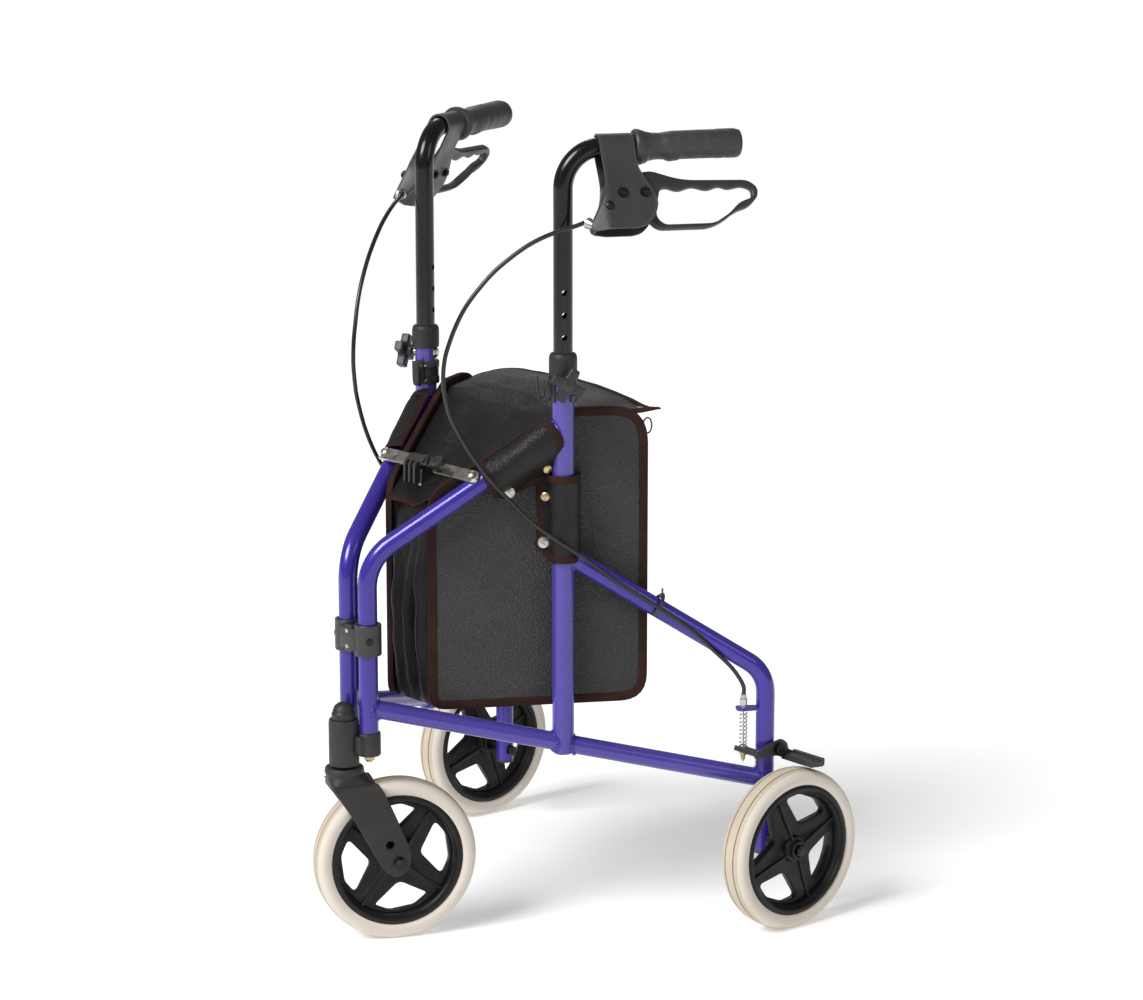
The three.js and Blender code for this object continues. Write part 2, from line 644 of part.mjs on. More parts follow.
function casterStem() {
  return turned([[0, 204.3], [6, 204.3], [6, 262], [0, 262]], v3(0, 0, 0), Z, 12);
}

function casterFork() {
  const crown = turned([[0, 187], [15, 187], [22, 191], [22, 200], [16, 204], [0, 204]], v3(0, 0, 0), Z, 12);
  const blade = roundedOutline([
    [-20, 200, 4], [16, 200, 6], [32, 182, 8], [71, 106, 8], [71, 86, 7], [54, 82, 7], [40, 96, 6],
    [-12, 176, 6],
  ]);
  const inner = tyreHalf + 3;
  const blades = [[-inner - 6, -inner], [inner, inner + 6]].map(([a, b]) => plate(blade, a, b));
  const bridge = box(v3(-16, -inner - 6, 187), v3(20, inner + 6, 199));
  const axle = rod(v3(trail, -40, wheelR), v3(trail, 40, wheelR), axleR + gap);
  return cut(join(crown, bridge, ...blades), axle);
}

function frontAxle() {
  const at = (y) => v3(trail, y, wheelR);
  const sleeve = tyreHalf + 2.7;
  return join(rod(at(-30), at(30), axleR), rod(at(26.8), at(32), 7, 6), rod(at(-32), at(-26.8), 7, 6),
    rod(at(16.3), at(sleeve), 7), rod(at(-sleeve), at(-16.3), 7));
}

const bagFrontY = bagFrontS * cosA;
const bagBackY = bagBackS * cosA;

// The bag's plan, inset from the panels by a clearance.
function bagPlan(inset, low, high) {
  const inner = panelFace + panelT + inset;
  const halfAt = (s) => postOffset + s * sinA - inner * cosA;
  const yAt = (s) => s * cosA + inner * sinA;
  const front = bagFrontS + 2;
  const back = bagBackS - 8;
  const y0 = yAt(front) + inset;
  const y1 = yAt(back) - inset;
  const half0 = halfAt(front);
  const half1 = halfAt(back);
  const shape = outlineShape([[-half0, y0], [half0, y0], [half1, y1], [-half1, y1]]);
  const block = new THREE.ExtrudeGeometry(shape, { depth: high - low, bevelEnabled: false });
  return block.translate(0, 0, low);
}

// A side profile in YZ, run across the whole width.
function across(outline) {
  return plateYZ(outline, -220, 220);
}

const bagTop = [[60, 498], [110, 520], [190, 578], [225, 602], [310, 598]];

function bagShell() {
  const wall = 3;
  const floorZ = bagBottomZ + wall;
  const outside = common(bagPlan(0.6, 200, 700),
    across([[40, bagBottomZ], [330, bagBottomZ], ...bagTop.slice().reverse()]));
  const above = across([[40, floorZ], [330, floorZ], [330, 700], [40, 700]]);
  const inside = common(bagPlan(0.6 + wall, 200, 700), above);
  return cut(outside, inside);
}

function bagLid() {
  const under = bagTop.map(([y, z]) => [y, z + 0.6]);
  const over = [[60, 503], [110, 526], [160, 564], [200, 598], [235, 618], [275, 616], [310, 604]];
  return common(bagPlan(0.6, 400, 700), across([...under, ...over.reverse()]));
}

// The latch over the brace's middle: a pin in the right link, a cover, a round button and front fins.
function braceClip() {
  const top = linkLevel + 2 * linkT + gap;
  const pin = rod(v3(-latchPin, 0, linkLevel + linkT + 2 * gap), v3(-latchPin, 0, top + 2), 4, 12);
  const cover = box(v3(-33, -7, top + gap), v3(24, 6, top + 3.5));
  const button = rod(v3(25, 0, top + gap), v3(25, 0, top + 8), 8, 16);
  const fins = [-31, -21, -11].map((x) => box(v3(x, -14, linkLevel - 2), v3(x + 4, -8.6, top + 6)));
  const bridge = box(v3(-31, -12, top + gap), v3(-7, -6, top + 3.5));
  return inBracePlane(join(pin, cover, button, bridge, ...fins));
}

const model = new THREE.Group();
model.add(makeSide('left'), makeSide('right'));
const caster = new THREE.Group();
caster.position.set(0, stemY, 0);
caster.rotation.z = Math.PI / 2 - casterTurn;
const frontRim = rim(16, frontSpokeTurn).rotateZ(Math.PI / 2).translate(trail, 0, wheelR);
const frontTyre = tyre().rotateZ(Math.PI / 2).translate(trail, 0, wheelR);
caster.add(
  named('caster_fork', casterFork(), plasticGrey, 0.55),
  named('caster_stem', casterStem(), nickel, 0.3, 1),
  named('front_axle', frontAxle(), black, 0.4, 0.6),
  named('front_rim', frontRim, black, 0.5),
  named('front_tyre', frontTyre, cream, 0.8),
);
model.add(
  caster,
  named('caster_bracket', casterBracket(), plasticGrey, 0.55),
  named('caster_cap', casterCap(), plasticGrey, 0.5),
  named('hinge_clamp', hingeClamp(), plasticGrey, 0.5),
  named('brace_clip', braceClip(), black, 0.5),
  named('bag_shell', bagShell(), vinyl, 0.6),
  named('bag_lid', bagLid(), vinyl, 0.6),
);

// The whole walker stands on Z = 0 with its box centred on the Z axis.
model.updateMatrixWorld(true);
const bounds = new THREE.Box3().setFromObject(model);
const centre = bounds.getCenter(new THREE.Vector3());
model.position.set(-centre.x, -centre.y, -bounds.min.z);

export default model;
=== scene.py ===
"""Folding three-wheeled rollator walker: its finished surfaces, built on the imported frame.

Shapes are drawn in millimetres, in the same local frames as the CAD part: along a side's frame from its
front post (s), inboard (y) and up (z). Each is then placed in the row frame, in metres.
"""

import math

import bmesh
import bpy
from mathutils import Matrix, Vector, noise


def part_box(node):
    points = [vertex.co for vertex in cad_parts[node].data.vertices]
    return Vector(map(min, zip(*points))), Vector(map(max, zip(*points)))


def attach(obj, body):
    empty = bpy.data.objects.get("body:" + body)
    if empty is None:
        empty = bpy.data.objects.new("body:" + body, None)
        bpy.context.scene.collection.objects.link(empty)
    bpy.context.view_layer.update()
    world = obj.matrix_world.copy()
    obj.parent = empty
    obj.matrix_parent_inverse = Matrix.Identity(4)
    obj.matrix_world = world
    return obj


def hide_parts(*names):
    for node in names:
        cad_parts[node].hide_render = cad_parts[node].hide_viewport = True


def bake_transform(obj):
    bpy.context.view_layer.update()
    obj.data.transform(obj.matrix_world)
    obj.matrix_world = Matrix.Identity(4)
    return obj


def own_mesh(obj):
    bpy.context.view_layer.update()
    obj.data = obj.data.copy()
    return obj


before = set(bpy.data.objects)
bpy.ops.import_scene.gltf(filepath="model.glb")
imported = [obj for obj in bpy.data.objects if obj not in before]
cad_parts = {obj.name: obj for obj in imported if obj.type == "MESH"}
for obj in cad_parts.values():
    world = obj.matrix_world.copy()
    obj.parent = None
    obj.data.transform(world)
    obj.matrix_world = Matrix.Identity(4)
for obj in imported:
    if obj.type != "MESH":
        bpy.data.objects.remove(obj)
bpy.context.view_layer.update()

# ---- driving sizes, in millimetres and radians, the same as the part's ----
MM = 0.001
POST_OFFSET = 18.6
SPLAY = 0.507
UPRIGHT_S = 225
REAR_S = 464
TUBE_R = 11
UPRIGHT_R = 12.7
HANDLE_R = 11
POST_BOTTOM_Z = 249.5
FRONT_BEND_Z = 450
DIAGONAL_TOP_Z = 595
REAR_DIAGONAL_Z = 449.5
REAR_BEND_Z = 297
REAR_POST_BOTTOM_Z = 80.5
LOWER_FRONT_Z = 277.3
LOWER_REAR_Z = 168.2
UPRIGHT_TOP_Z = 668
BORE_BOTTOM_Z = 400
KNOB_Z = 647.5
ARM_TURN = 0.49
HANDLE_BOTTOM_Z = 500
HANDLE_Z = 911
HANDLE_BEND_R = 46
HANDLE_TURN = 0.068
BRAKE_TILT = 0.49
HOLE_PITCH = 25.4
GRIP_START = 81
GRIP_END = 205
LEVER_PIVOT = 83.8
LEVER_DROP = 61
WHEEL_R = 95
TYRE_HALF = 17.5
RIM_R = 77.5
WHEEL_OFFSET = 44
REAR_SPOKE_TURN = 1.19
FRONT_SPOKE_TURN = 0.66
STEM_Y = -22
TRAIL = 58
CASTER_TURN = 0.4
BRACE_S = 127
LINK_LEVEL = 13.8
LINK_END = 11.5
LATCH_PIN = 22
CLIP_LIFT = 14
LINK_T = 2.5
PANEL_FACE = 16.2
PANEL_T = 6
TAPE_T = 1.7
BAG_BOTTOM_Z = 268
BAG_FRONT_S = 73
BAG_BACK_S = 325
STOP_S = 438
STOP_Z = 250
BRAKE_PIVOT_Y = 6
BRAKE_PIVOT_Z = 208
POST_BOLT_LOW = 214

SIN_A = math.sin(SPLAY)
COS_A = math.cos(SPLAY)
SIDES = (("left", 1), ("right", -1))
SLOPE = math.atan2(DIAGONAL_TOP_Z - FRONT_BEND_Z, UPRIGHT_S)
CABLE_ROUTE = [
    (244, -37, 832), (232, -36, 827.5), (213, -34.5, 822), (189, -33, 812), (169, -32.3, 800),
    (143.6, -31.4, 780), (125, -31, 760), (110, -30.3, 740), (99.4, -29.8, 720), (91.6, -29, 700),
    (86, -28.8, 680), (84.3, -28.9, 655), (88.3, -29, 630), (94, -29.1, 612), (111.6, -29.2, 578),
    (134, -28.4, 546), (158, -26.5, 518.9), (185, -23.5, 491), (212, -20.5, 469.5), (232, -18.6, 455.5),
    (250, -17.4, 442.8), (268, -16.4, 428.8), (292, -15.6, 411), (334, -15.2, 383), (372, -15, 355),
    (398, -12, 330), (420, -6, 308), (432, -2, 292), (STOP_S, 0, 280), (STOP_S, 0, 270.6),
]

# ---- places: each takes local millimetres to the row frame ----
bolt_low, bolt_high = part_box("post_bolt_left")
ORIGIN = Vector((0, (bolt_low.y + bolt_high.y) / 2, bolt_low.z - POST_BOLT_LOW * MM))


def shifted(x, y, z):
    return Matrix.Translation((x, y, z))


WORLD = Matrix.Translation(ORIGIN) @ Matrix.Scale(MM, 4)
FRAME = WORLD @ shifted(POST_OFFSET, 0, 0) @ Matrix.Rotation(math.pi / 2 - SPLAY, 4, "Z")
HANDLE = FRAME @ shifted(UPRIGHT_S, 0, HANDLE_Z) @ Matrix.Rotation(HANDLE_TURN, 4, "Z")
BRAKE = HANDLE @ Matrix.Rotation(-BRAKE_TILT, 4, "X")
CORNER = WORLD @ shifted(POST_OFFSET + REAR_S * SIN_A, REAR_S * COS_A, 0)
CASTER = WORLD @ shifted(0, STEM_Y, 0) @ Matrix.Rotation(math.pi / 2 - CASTER_TURN, 4, "Z")
REAR_WHEEL = CORNER @ shifted(WHEEL_OFFSET, 0, WHEEL_R)
FRONT_WHEEL = CASTER @ shifted(TRAIL, 0, WHEEL_R) @ Matrix.Rotation(-math.pi / 2, 4, "Z")
STAR = FRAME @ shifted(UPRIGHT_S, 0, KNOB_Z)
BRACE_SLOPE = math.atan2(DIAGONAL_TOP_Z - FRONT_BEND_Z, UPRIGHT_S * COS_A)
BRACE_HEIGHT = FRONT_BEND_Z + (DIAGONAL_TOP_Z - FRONT_BEND_Z) * BRACE_S / UPRIGHT_S
BRACE = WORLD @ shifted(0, BRACE_S * COS_A, BRACE_HEIGHT) @ Matrix.Rotation(BRACE_SLOPE, 4, "X")


# ---- shapes ----
class Shape:
    """Vertices, faces, a texture point for each face corner, and a material number for each face."""

    def __init__(self):
        self.verts, self.faces, self.uvs, self.slots = [], [], [], []

    def add(self, *others):
        for other in others:
            start = len(self.verts)
            self.verts += other.verts
            self.faces += [tuple(i + start for i in face) for face in other.faces]
            self.uvs += other.uvs
            self.slots += other.slots
        return self

    def moved(self, matrix):
        self.verts = [matrix @ v for v in self.verts]
        return self

    def painted(self, slot):
        self.slots = [slot] * len(self.faces)
        return self


def joined(*shapes):
    return Shape().add(*shapes)


def loft(rings, around=True, along=False, caps=True):
    """Faces between rings of equally many points. Texture points are distances in metres."""
    shape = Shape()
    count, rows = len(rings[0]), len(rings)
    for ring in rings:
        shape.verts += [Vector(p) for p in ring]
    across, up = [0.0], [0.0]
    for k in range(count):
        across.append(across[-1] + (Vector(rings[0][(k + 1) % count]) - Vector(rings[0][k])).length * MM)
    for i in range(rows):
        up.append(up[-1] + (Vector(rings[(i + 1) % rows][0]) - Vector(rings[i][0])).length * MM)
    for i in range(rows if along else rows - 1):
        j = (i + 1) % rows
        for k in range(count if around else count - 1):
            m = (k + 1) % count
            shape.faces.append((i * count + k, i * count + m, j * count + m, j * count + k))
            shape.uvs.append([(across[k], up[i]), (across[k + 1], up[i]),
                              (across[k + 1], up[i + 1]), (across[k], up[i + 1])])
    if caps and around and not along:
        for row in (0, rows - 1):
            face = tuple(row * count + k for k in range(count))
            shape.faces.append(face)
            shape.uvs.append([(shape.verts[i].x * MM, shape.verts[i].y * MM) for i in face])
    return shape.painted(0)


def circle(radius, sides):
    turns = [2 * math.pi * k / sides for k in range(sides)]
    return [(radius * math.cos(a), radius * math.sin(a)) for a in turns]


def rounded_section(half_a, half_b, corner, steps=3):
    """A rectangle with rounded corners, as a closed list of points."""
    points = []
    for turn, (sa, sb) in enumerate(((1, 1), (-1, 1), (-1, -1), (1, -1))):
        for k in range(steps + 1):
            angle = math.pi / 2 * (turn + k / steps)
            points.append((sa * (half_a - corner) + corner * math.cos(angle),
                           sb * (half_b - corner) + corner * math.sin(angle)))
    return points


def sweep(path, section, closed=False, ups=None, caps=True):
    """A section carried along a path. ups is one direction, or one for each point, for its second axis."""
    points = [Vector(p) for p in path]
    count = len(points)
    rings, normal = [], None
    for i, point in enumerate(points):
        before = points[i - 1] if closed or i > 0 else point
        after = points[(i + 1) % count] if closed or i < count - 1 else point
        tangent = (after - before).normalized()
        if ups is None:
            guide = normal if normal else (Vector((0, 0, 1)) if abs(tangent.z) < 0.8 else Vector((0, 1, 0)))
        else:
            guide = Vector(ups[i]) if hasattr(ups[0], "__len__") else Vector(ups)
        normal = (guide - tangent * guide.dot(tangent)).normalized()
        side = tangent.cross(normal)
        rings.append([point + (side * a + normal * b) for a, b in section])
    return loft(rings, along=closed, caps=caps)


def lathe(profile, base=(0, 0, 0), axis=(0, 0, 1), sides=40, closed=False, slots=None):
    """A turned shape: (radius, height) pairs about an axis."""
    axis = Vector(axis).normalized()
    turn = Vector((0, 0, 1)).rotation_difference(axis)
    rings = []
    for r, h in profile:
        rings.append([Vector(base) + turn @ Vector((x, y, h)) for x, y in circle(max(r, 0.0005), sides)])
    shape = loft(rings, along=closed, caps=not closed)
    if slots:
        shape.slots = [slots[min(i // sides, len(slots) - 1)] for i in range(len(shape.faces))]
    return shape


def rod(start, end, radius, sides=32, bevel=0.4):
    length = (Vector(end) - Vector(start)).length
    profile = [(0, 0), (radius - bevel, 0), (radius, bevel), (radius, length - bevel),
               (radius - bevel, length), (0, length)]
    return lathe(profile, start, Vector(end) - Vector(start), sides)


def washer(base, axis, radius, thick, sides=40):
    """A flat disc, from base along axis."""
    return lathe([(0, 0), (radius, 0), (radius, thick), (0, thick)], base, axis, sides)


def hexagon(base, axis, radius, height, bevel=0.7):
    """A bolt head: a six-sided prism with a chamfered top."""
    return lathe([(0, 0), (radius, 0), (radius, height - bevel), (radius - bevel, height), (0, height)],
                 base, axis, 6)


def block(low, high, bevel=0.8):
    bm = bmesh.new()
    bmesh.ops.create_cube(bm, size=1)
    low, high = Vector(low), Vector(high)
    size, middle = high - low, (high + low) / 2
    for v in bm.verts:
        v.co = Vector((v.co.x * size.x, v.co.y * size.y, v.co.z * size.z)) + middle
    bmesh.ops.bevel(bm, geom=list(bm.edges), offset=min(bevel, min(size) * 0.45), segments=3,
                    profile=0.5, affect="EDGES")
    return from_bmesh(bm)


def from_bmesh(bm):
    shape = Shape()
    bm.verts.index_update()
    shape.verts = [v.co.copy() for v in bm.verts]
    for face in bm.faces:
        shape.faces.append(tuple(v.index for v in face.verts))
        shape.uvs.append([((v.co.x + v.co.y) * MM, v.co.z * MM) for v in face.verts])
    bm.free()
    return shape.painted(0)


def plate(outline, low, high, bevel=0.6, holes=(), steps=2):
    """An outline in the x, z plane with rounded edges, between two depths along y."""
    curve = bpy.data.curves.new("outline", "CURVE")
    curve.dimensions = "2D"
    curve.fill_mode = "BOTH"
    curve.extrude = (high - low) / 2 - bevel
    curve.bevel_depth = bevel
    curve.bevel_resolution = steps
    curve.offset = -bevel
    for points in (outline, *holes):
        spline = curve.splines.new("POLY")
        spline.points.add(len(points) - 1)
        for target, (x, y) in zip(spline.points, points):
            target.co = (x, y, 0, 1)
        spline.use_cyclic_u = True
    holder = bpy.data.objects.new("outline", curve)
    mesh = bpy.data.meshes.new_from_object(holder)
    bm = bmesh.new()
    bm.from_mesh(mesh)
    bmesh.ops.remove_doubles(bm, verts=bm.verts, dist=0.002)
    bpy.data.objects.remove(holder)
    bpy.data.curves.remove(curve)
    bpy.data.meshes.remove(mesh)
    for v in bm.verts:
        v.co = Vector((v.co.x, (low + high) / 2 + v.co.z, v.co.y))
    return from_bmesh(bm)


def rounded(corners, steps=6):
    """A polygon with rounded corners: (x, y, reach) for each corner."""
    points = []
    for i, (x, y, reach) in enumerate(corners):
        here = Vector((x, y))
        before = Vector(corners[i - 1][:2])
        after = Vector(corners[(i + 1) % len(corners)][:2])
        start = here + (before - here).normalized() * reach
        end = here + (after - here).normalized() * reach
        if reach == 0:
            points.append((x, y))
            continue
        for k in range(steps + 1):
            t = k / steps
            p = start * (1 - t) ** 2 + here * 2 * t * (1 - t) + end * t * t
            points.append((p.x, p.y))
    return points


def bent(corners, bend_r, steps=14):
    """Points along straight runs joined by arcs."""
    corners = [Vector(c) for c in corners]
    points = [corners[0]]
    for i in range(1, len(corners) - 1):
        into = (corners[i] - corners[i - 1]).normalized()
        out = (corners[i + 1] - corners[i]).normalized()
        turn = into.angle(out)
        start = corners[i] - into * bend_r * math.tan(turn / 2)
        axis = into.cross(out).normalized()
        centre = start + axis.cross(into) * bend_r
        for k in range(steps + 1):
            points.append(Matrix.Rotation(turn * k / steps, 3, axis) @ (start - centre) + centre)
    return points + [corners[-1]]


def smooth_line(points, steps=6):
    """A smooth line through points."""
    points = [Vector(p) for p in points]
    line = []
    for i in range(len(points) - 1):
        p0, p1, p2 = points[max(i - 1, 0)], points[i], points[i + 1]
        p3 = points[min(i + 2, len(points) - 1)]
        for k in range(steps):
            t = k / steps
            line.append(0.5 * (2 * p1 + (p2 - p0) * t + (2 * p0 - 5 * p1 + 4 * p2 - p3) * t * t
                               + (3 * p1 - p0 - 3 * p2 + p3) * t ** 3))
    return line + [points[-1]]


def between(x, pairs):
    """A value read from (x, value) pairs, eased between neighbours."""
    if x <= pairs[0][0]:
        return pairs[0][1]
    for (x0, y0), (x1, y1) in zip(pairs, pairs[1:]):
        if x <= x1:
            t = (x - x0) / (x1 - x0)
            return y0 + (y1 - y0) * t * t * (3 - 2 * t)
    return pairs[-1][1]


def straight(x, pairs):
    """A value read from (x, value) pairs along straight runs."""
    for (x0, y0), (x1, y1) in zip(pairs, pairs[1:]):
        if x <= x1:
            return y0 + (y1 - y0) * (x - x0) / (x1 - x0)
    return pairs[-1][1]


def saddle(start, direction, radius, foot, axis, post_r, sides=48):
    """Where a tube's surface meets a post's surface, going from start along direction."""
    direction, axis, foot = Vector(direction).normalized(), Vector(axis).normalized(), Vector(foot)
    u = direction.cross(axis).normalized()
    w = u.cross(direction)
    ring = []
    for a, b in circle(radius, sides):
        p = Vector(start) + u * a + w * b
        d = direction - axis * direction.dot(axis)
        q = (p - foot) - axis * (p - foot).dot(axis)
        qa, qb, qc = d.dot(d), 2 * q.dot(d), q.dot(q) - post_r ** 2
        reach = max(qb * qb - 4 * qa * qc, 0.0)
        ring.append(p + direction * ((-qb - math.sqrt(reach)) / (2 * qa)))
    return ring


def weld(ring):
    """A rippled bead of weld along a closed ring."""
    centre = sum(ring, Vector()) / len(ring)
    ups = [p - centre for p in ring]
    bead = sweep(ring, circle(2.1, 10), closed=True, ups=ups)
    ripples = 36
    for k, v in enumerate(bead.verts):
        i = k // 10
        bead.verts[k] = ring[i] + (v - ring[i]) * (1 + 0.16 * math.sin(ripples * 2 * math.pi * i / len(ring)))
    return bead


# ---- making pieces ----
def build(name, shape, place, looks, angle=35, mirrored=False):
    mesh = bpy.data.meshes.new(name)
    flip = Matrix.Scale(-1, 4, (1, 0, 0)) if mirrored else Matrix.Identity(4)
    mesh.from_pydata([flip @ (place @ v) for v in shape.verts], [], shape.faces)
    layer = mesh.uv_layers.new(name="UVMap")
    flat = [c for face in shape.uvs for corner in face for c in corner]
    layer.data.foreach_set("uv", flat)
    mesh.polygons.foreach_set("material_index", shape.slots)
    for look in looks:
        mesh.materials.append(look)
    bm = bmesh.new()
    bm.from_mesh(mesh)
    bmesh.ops.remove_doubles(bm, verts=bm.verts, dist=5e-6)
    bmesh.ops.dissolve_degenerate(bm, dist=1e-6, edges=bm.edges)
    bmesh.ops.recalc_face_normals(bm, faces=bm.faces)
    bm.to_mesh(mesh)
    bm.free()
    mesh.shade_smooth()
    mesh.set_sharp_from_angle(angle=math.radians(angle))
    piece = bpy.data.objects.new(name, mesh)
    bpy.context.scene.collection.objects.link(piece)
    return piece


def listed(look):
    return look if isinstance(look, list) else [look]


def fitted(piece, body, nodes=()):
    """A finished piece rides on its body and stands for its CAD nodes."""
    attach(piece, body)
    if nodes:
        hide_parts(*nodes)
    return piece


def single(name, shape, place, body, look, nodes=(), angle=35):
    return fitted(build(name, shape, place, listed(look), angle), body, nodes)


def on_side(side, sign, name, shape, place, body, look, nodes=(), angle=35):
    """One side's piece. The right one is mirrored."""
    piece = build(f"{name}_{side}", shape, place, listed(look), angle, sign < 0)
    return fitted(piece, f"{body}_{side}", [f"{n}_{side}" for n in nodes])


def pair(*piece, **options):
    """The same piece on both sides."""
    return [on_side(side, sign, *piece, **options) for side, sign in SIDES]


def drilled(shape, drills):
    """A shape with bars cut out of it."""
    target = build("drill_target", shape, Matrix.Identity(4), [])
    tool = build("drill_tool", joined(*drills), Matrix.Identity(4), [])
    cut = target.modifiers.new("cut", "BOOLEAN")
    cut.operation = "DIFFERENCE"
    cut.object = tool
    cut.solver = "EXACT"
    bpy.context.view_layer.update()
    result = target.evaluated_get(bpy.context.evaluated_depsgraph_get())
    bm = bmesh.new()
    bm.from_mesh(result.to_mesh())
    for o in (target, tool):
        bpy.data.objects.remove(o)
    return from_bmesh(bm)


# ---- materials ----
class Look:
    """A node material whose detail comes from procedural textures in the piece's own space."""

    def __init__(self, name, rough, metal=0.0, coat=0.0, specular=0.5):
        self.material = bpy.data.materials.new(name)
        self.material.use_nodes = True
        self.nodes = self.material.node_tree.nodes
        self.links = self.material.node_tree.links
        self.shader = self.nodes["Principled BSDF"]
        for key, value in (("Roughness", rough), ("Metallic", metal), ("Coat Weight", coat),
                           ("Coat Roughness", 0.06), ("Specular IOR Level", specular)):
            self.shader.inputs[key].default_value = value
        place = self.node("ShaderNodeTexCoord")
        self.space, self.uv = place.outputs["Object"], place.outputs["UV"]

    def node(self, kind, inputs=(), **settings):
        made = self.nodes.new(kind)
        for key, value in settings.items():
            setattr(made, key, value)
        for key, value in dict(inputs).items():
            if isinstance(value, bpy.types.NodeSocket):
                self.links.new(value, made.inputs[key])
            else:
                made.inputs[key].default_value = value
        return made

    def noise(self, scale, detail=3.0, rough=0.5):
        return self.node("ShaderNodeTexNoise", {"Vector": self.space, "Scale": scale, "Detail": detail,
                                                "Roughness": rough}).outputs["Fac"]

    def range(self, value, low, high, to_low=0.0, to_high=1.0):
        return self.node("ShaderNodeMapRange", {"Value": value, "From Min": low, "From Max": high,
                                                "To Min": to_low, "To Max": to_high}).outputs["Result"]

    def mix(self, factor, one, two):
        made = self.node("ShaderNodeMix", {"Factor": factor}, data_type="RGBA")
        for socket, value in ((made.inputs[6], one), (made.inputs[7], two)):
            if isinstance(value, bpy.types.NodeSocket):
                self.links.new(value, socket)
            else:
                socket.default_value = (*value, 1)
        return made.outputs[2]

    def math(self, operation, one, two=0.0):
        return self.node("ShaderNodeMath", {0: one, 1: two}, operation=operation).outputs[0]

    def colour(self, value):
        if isinstance(value, bpy.types.NodeSocket):
            self.links.new(value, self.shader.inputs["Base Color"])
        else:
            self.shader.inputs["Base Color"].default_value = (*value, 1)

    def rough(self, value):
        self.links.new(value, self.shader.inputs["Roughness"])

    def bump(self, height, strength, depth):
        made = self.node("ShaderNodeBump", {"Height": height, "Strength": strength, "Distance": depth})
        self.links.new(made.outputs["Normal"], self.shader.inputs["Normal"])

    def edges(self, low=0.51, high=0.6):
        """Where the surface is convex, as on a rubbed edge."""
        return self.range(self.node("ShaderNodeNewGeometry").outputs["Pointiness"], low, high)


def paint(name, colour, light, coat=0.6):
    """Gloss paint: slight orange peel, a soft change of tone and brighter worn edges."""
    look = Look(name, 0.28, metal=0.15, coat=coat, specular=0.25)
    tone = look.mix(look.range(look.noise(9), 0.3, 0.7), colour, light)
    look.colour(look.mix(look.math("MULTIPLY", look.edges(0.56, 0.75), 0.35), tone, (0.55, 0.5, 0.8)))
    look.rough(look.range(look.noise(60, 4), 0.3, 0.7, 0.2, 0.36))
    look.bump(look.noise(450, 2), 0.06, 0.0004)
    return look.material


def moulded(name, colour, light, rough, grain=900, depth=0.0004, specular=0.5):
    """Moulded plastic or rubber: fine spark texture, with paler rubbed edges."""
    look = Look(name, rough, specular=specular)
    tone = look.mix(look.range(look.noise(14, 4), 0.3, 0.75), colour, light)
    look.colour(look.mix(look.math("MULTIPLY", look.edges(), 0.3), tone, tuple(3 * c for c in light)))
    look.rough(look.range(look.noise(45, 4), 0.3, 0.7, rough - 0.08, rough + 0.1))
    look.bump(look.noise(grain, 3, 0.6), 0.22, depth)
    return look.material


def metal(name, colour, dark, rough, grain=300):
    """Plated metal: fine scratches and slightly dulled patches."""
    look = Look(name, rough, metal=1.0)
    look.colour(look.mix(look.range(look.noise(30, 5), 0.35, 0.7), colour, dark))
    look.rough(look.range(look.noise(90, 4), 0.3, 0.7, rough - 0.06, rough + 0.14))
    look.bump(look.noise(grain, 5, 0.7), 0.12, 0.0003)
    return look.material


def leathery(name, colour, light, rough, cell, relief=0.8, specular=0.5):
    """Grained vinyl: a pebbled grain of cells, with shallow creases and a varying sheen."""
    look = Look(name, rough, specular=specular)
    wobble = look.node("ShaderNodeTexNoise", {"Vector": look.space, "Scale": cell * 0.6})
    place = look.node("ShaderNodeMix", {0: 0.0015, 4: look.space, 5: wobble.outputs["Color"]},
                      data_type="VECTOR")
    cells = look.node("ShaderNodeTexVoronoi", {"Vector": place.outputs[1], "Scale": cell},
                      feature="DISTANCE_TO_EDGE").outputs["Distance"]
    pebble = look.range(cells, 0.02, 0.3)
    tone = look.mix(look.range(look.noise(11, 4), 0.3, 0.72), colour, light)
    look.colour(look.mix(look.math("MULTIPLY", pebble, 0.5), tone, light))
    look.rough(look.range(pebble, 0, 1, rough + 0.14, rough - 0.03))
    fine = look.math("ADD", pebble, look.math("MULTIPLY", look.noise(cell * 4, 3), 0.25))
    look.bump(fine, relief, 0.0008)
    return look.material


def woven(name, colour, light, pitch=0.0013):
    """Woven binding tape: crossing threads and a softly varying tone."""
    look = Look(name, 0.7, specular=0.2)
    parts = look.node("ShaderNodeSeparateXYZ", {"Vector": look.uv})
    turns = 2 * math.pi / pitch
    warp = look.math("SINE", look.math("MULTIPLY", parts.outputs["X"], turns))
    weft = look.math("SINE", look.math("MULTIPLY", parts.outputs["Y"], turns))
    weave = look.range(look.math("MULTIPLY", warp, weft), -1, 1)
    tone = look.mix(look.range(look.noise(25, 4), 0.3, 0.7), colour, light)
    look.colour(look.mix(look.math("MULTIPLY", weave, 0.45), tone, light))
    look.bump(look.math("ADD", weave, look.noise(900, 2)), 0.5, 0.0004)
    return look.material


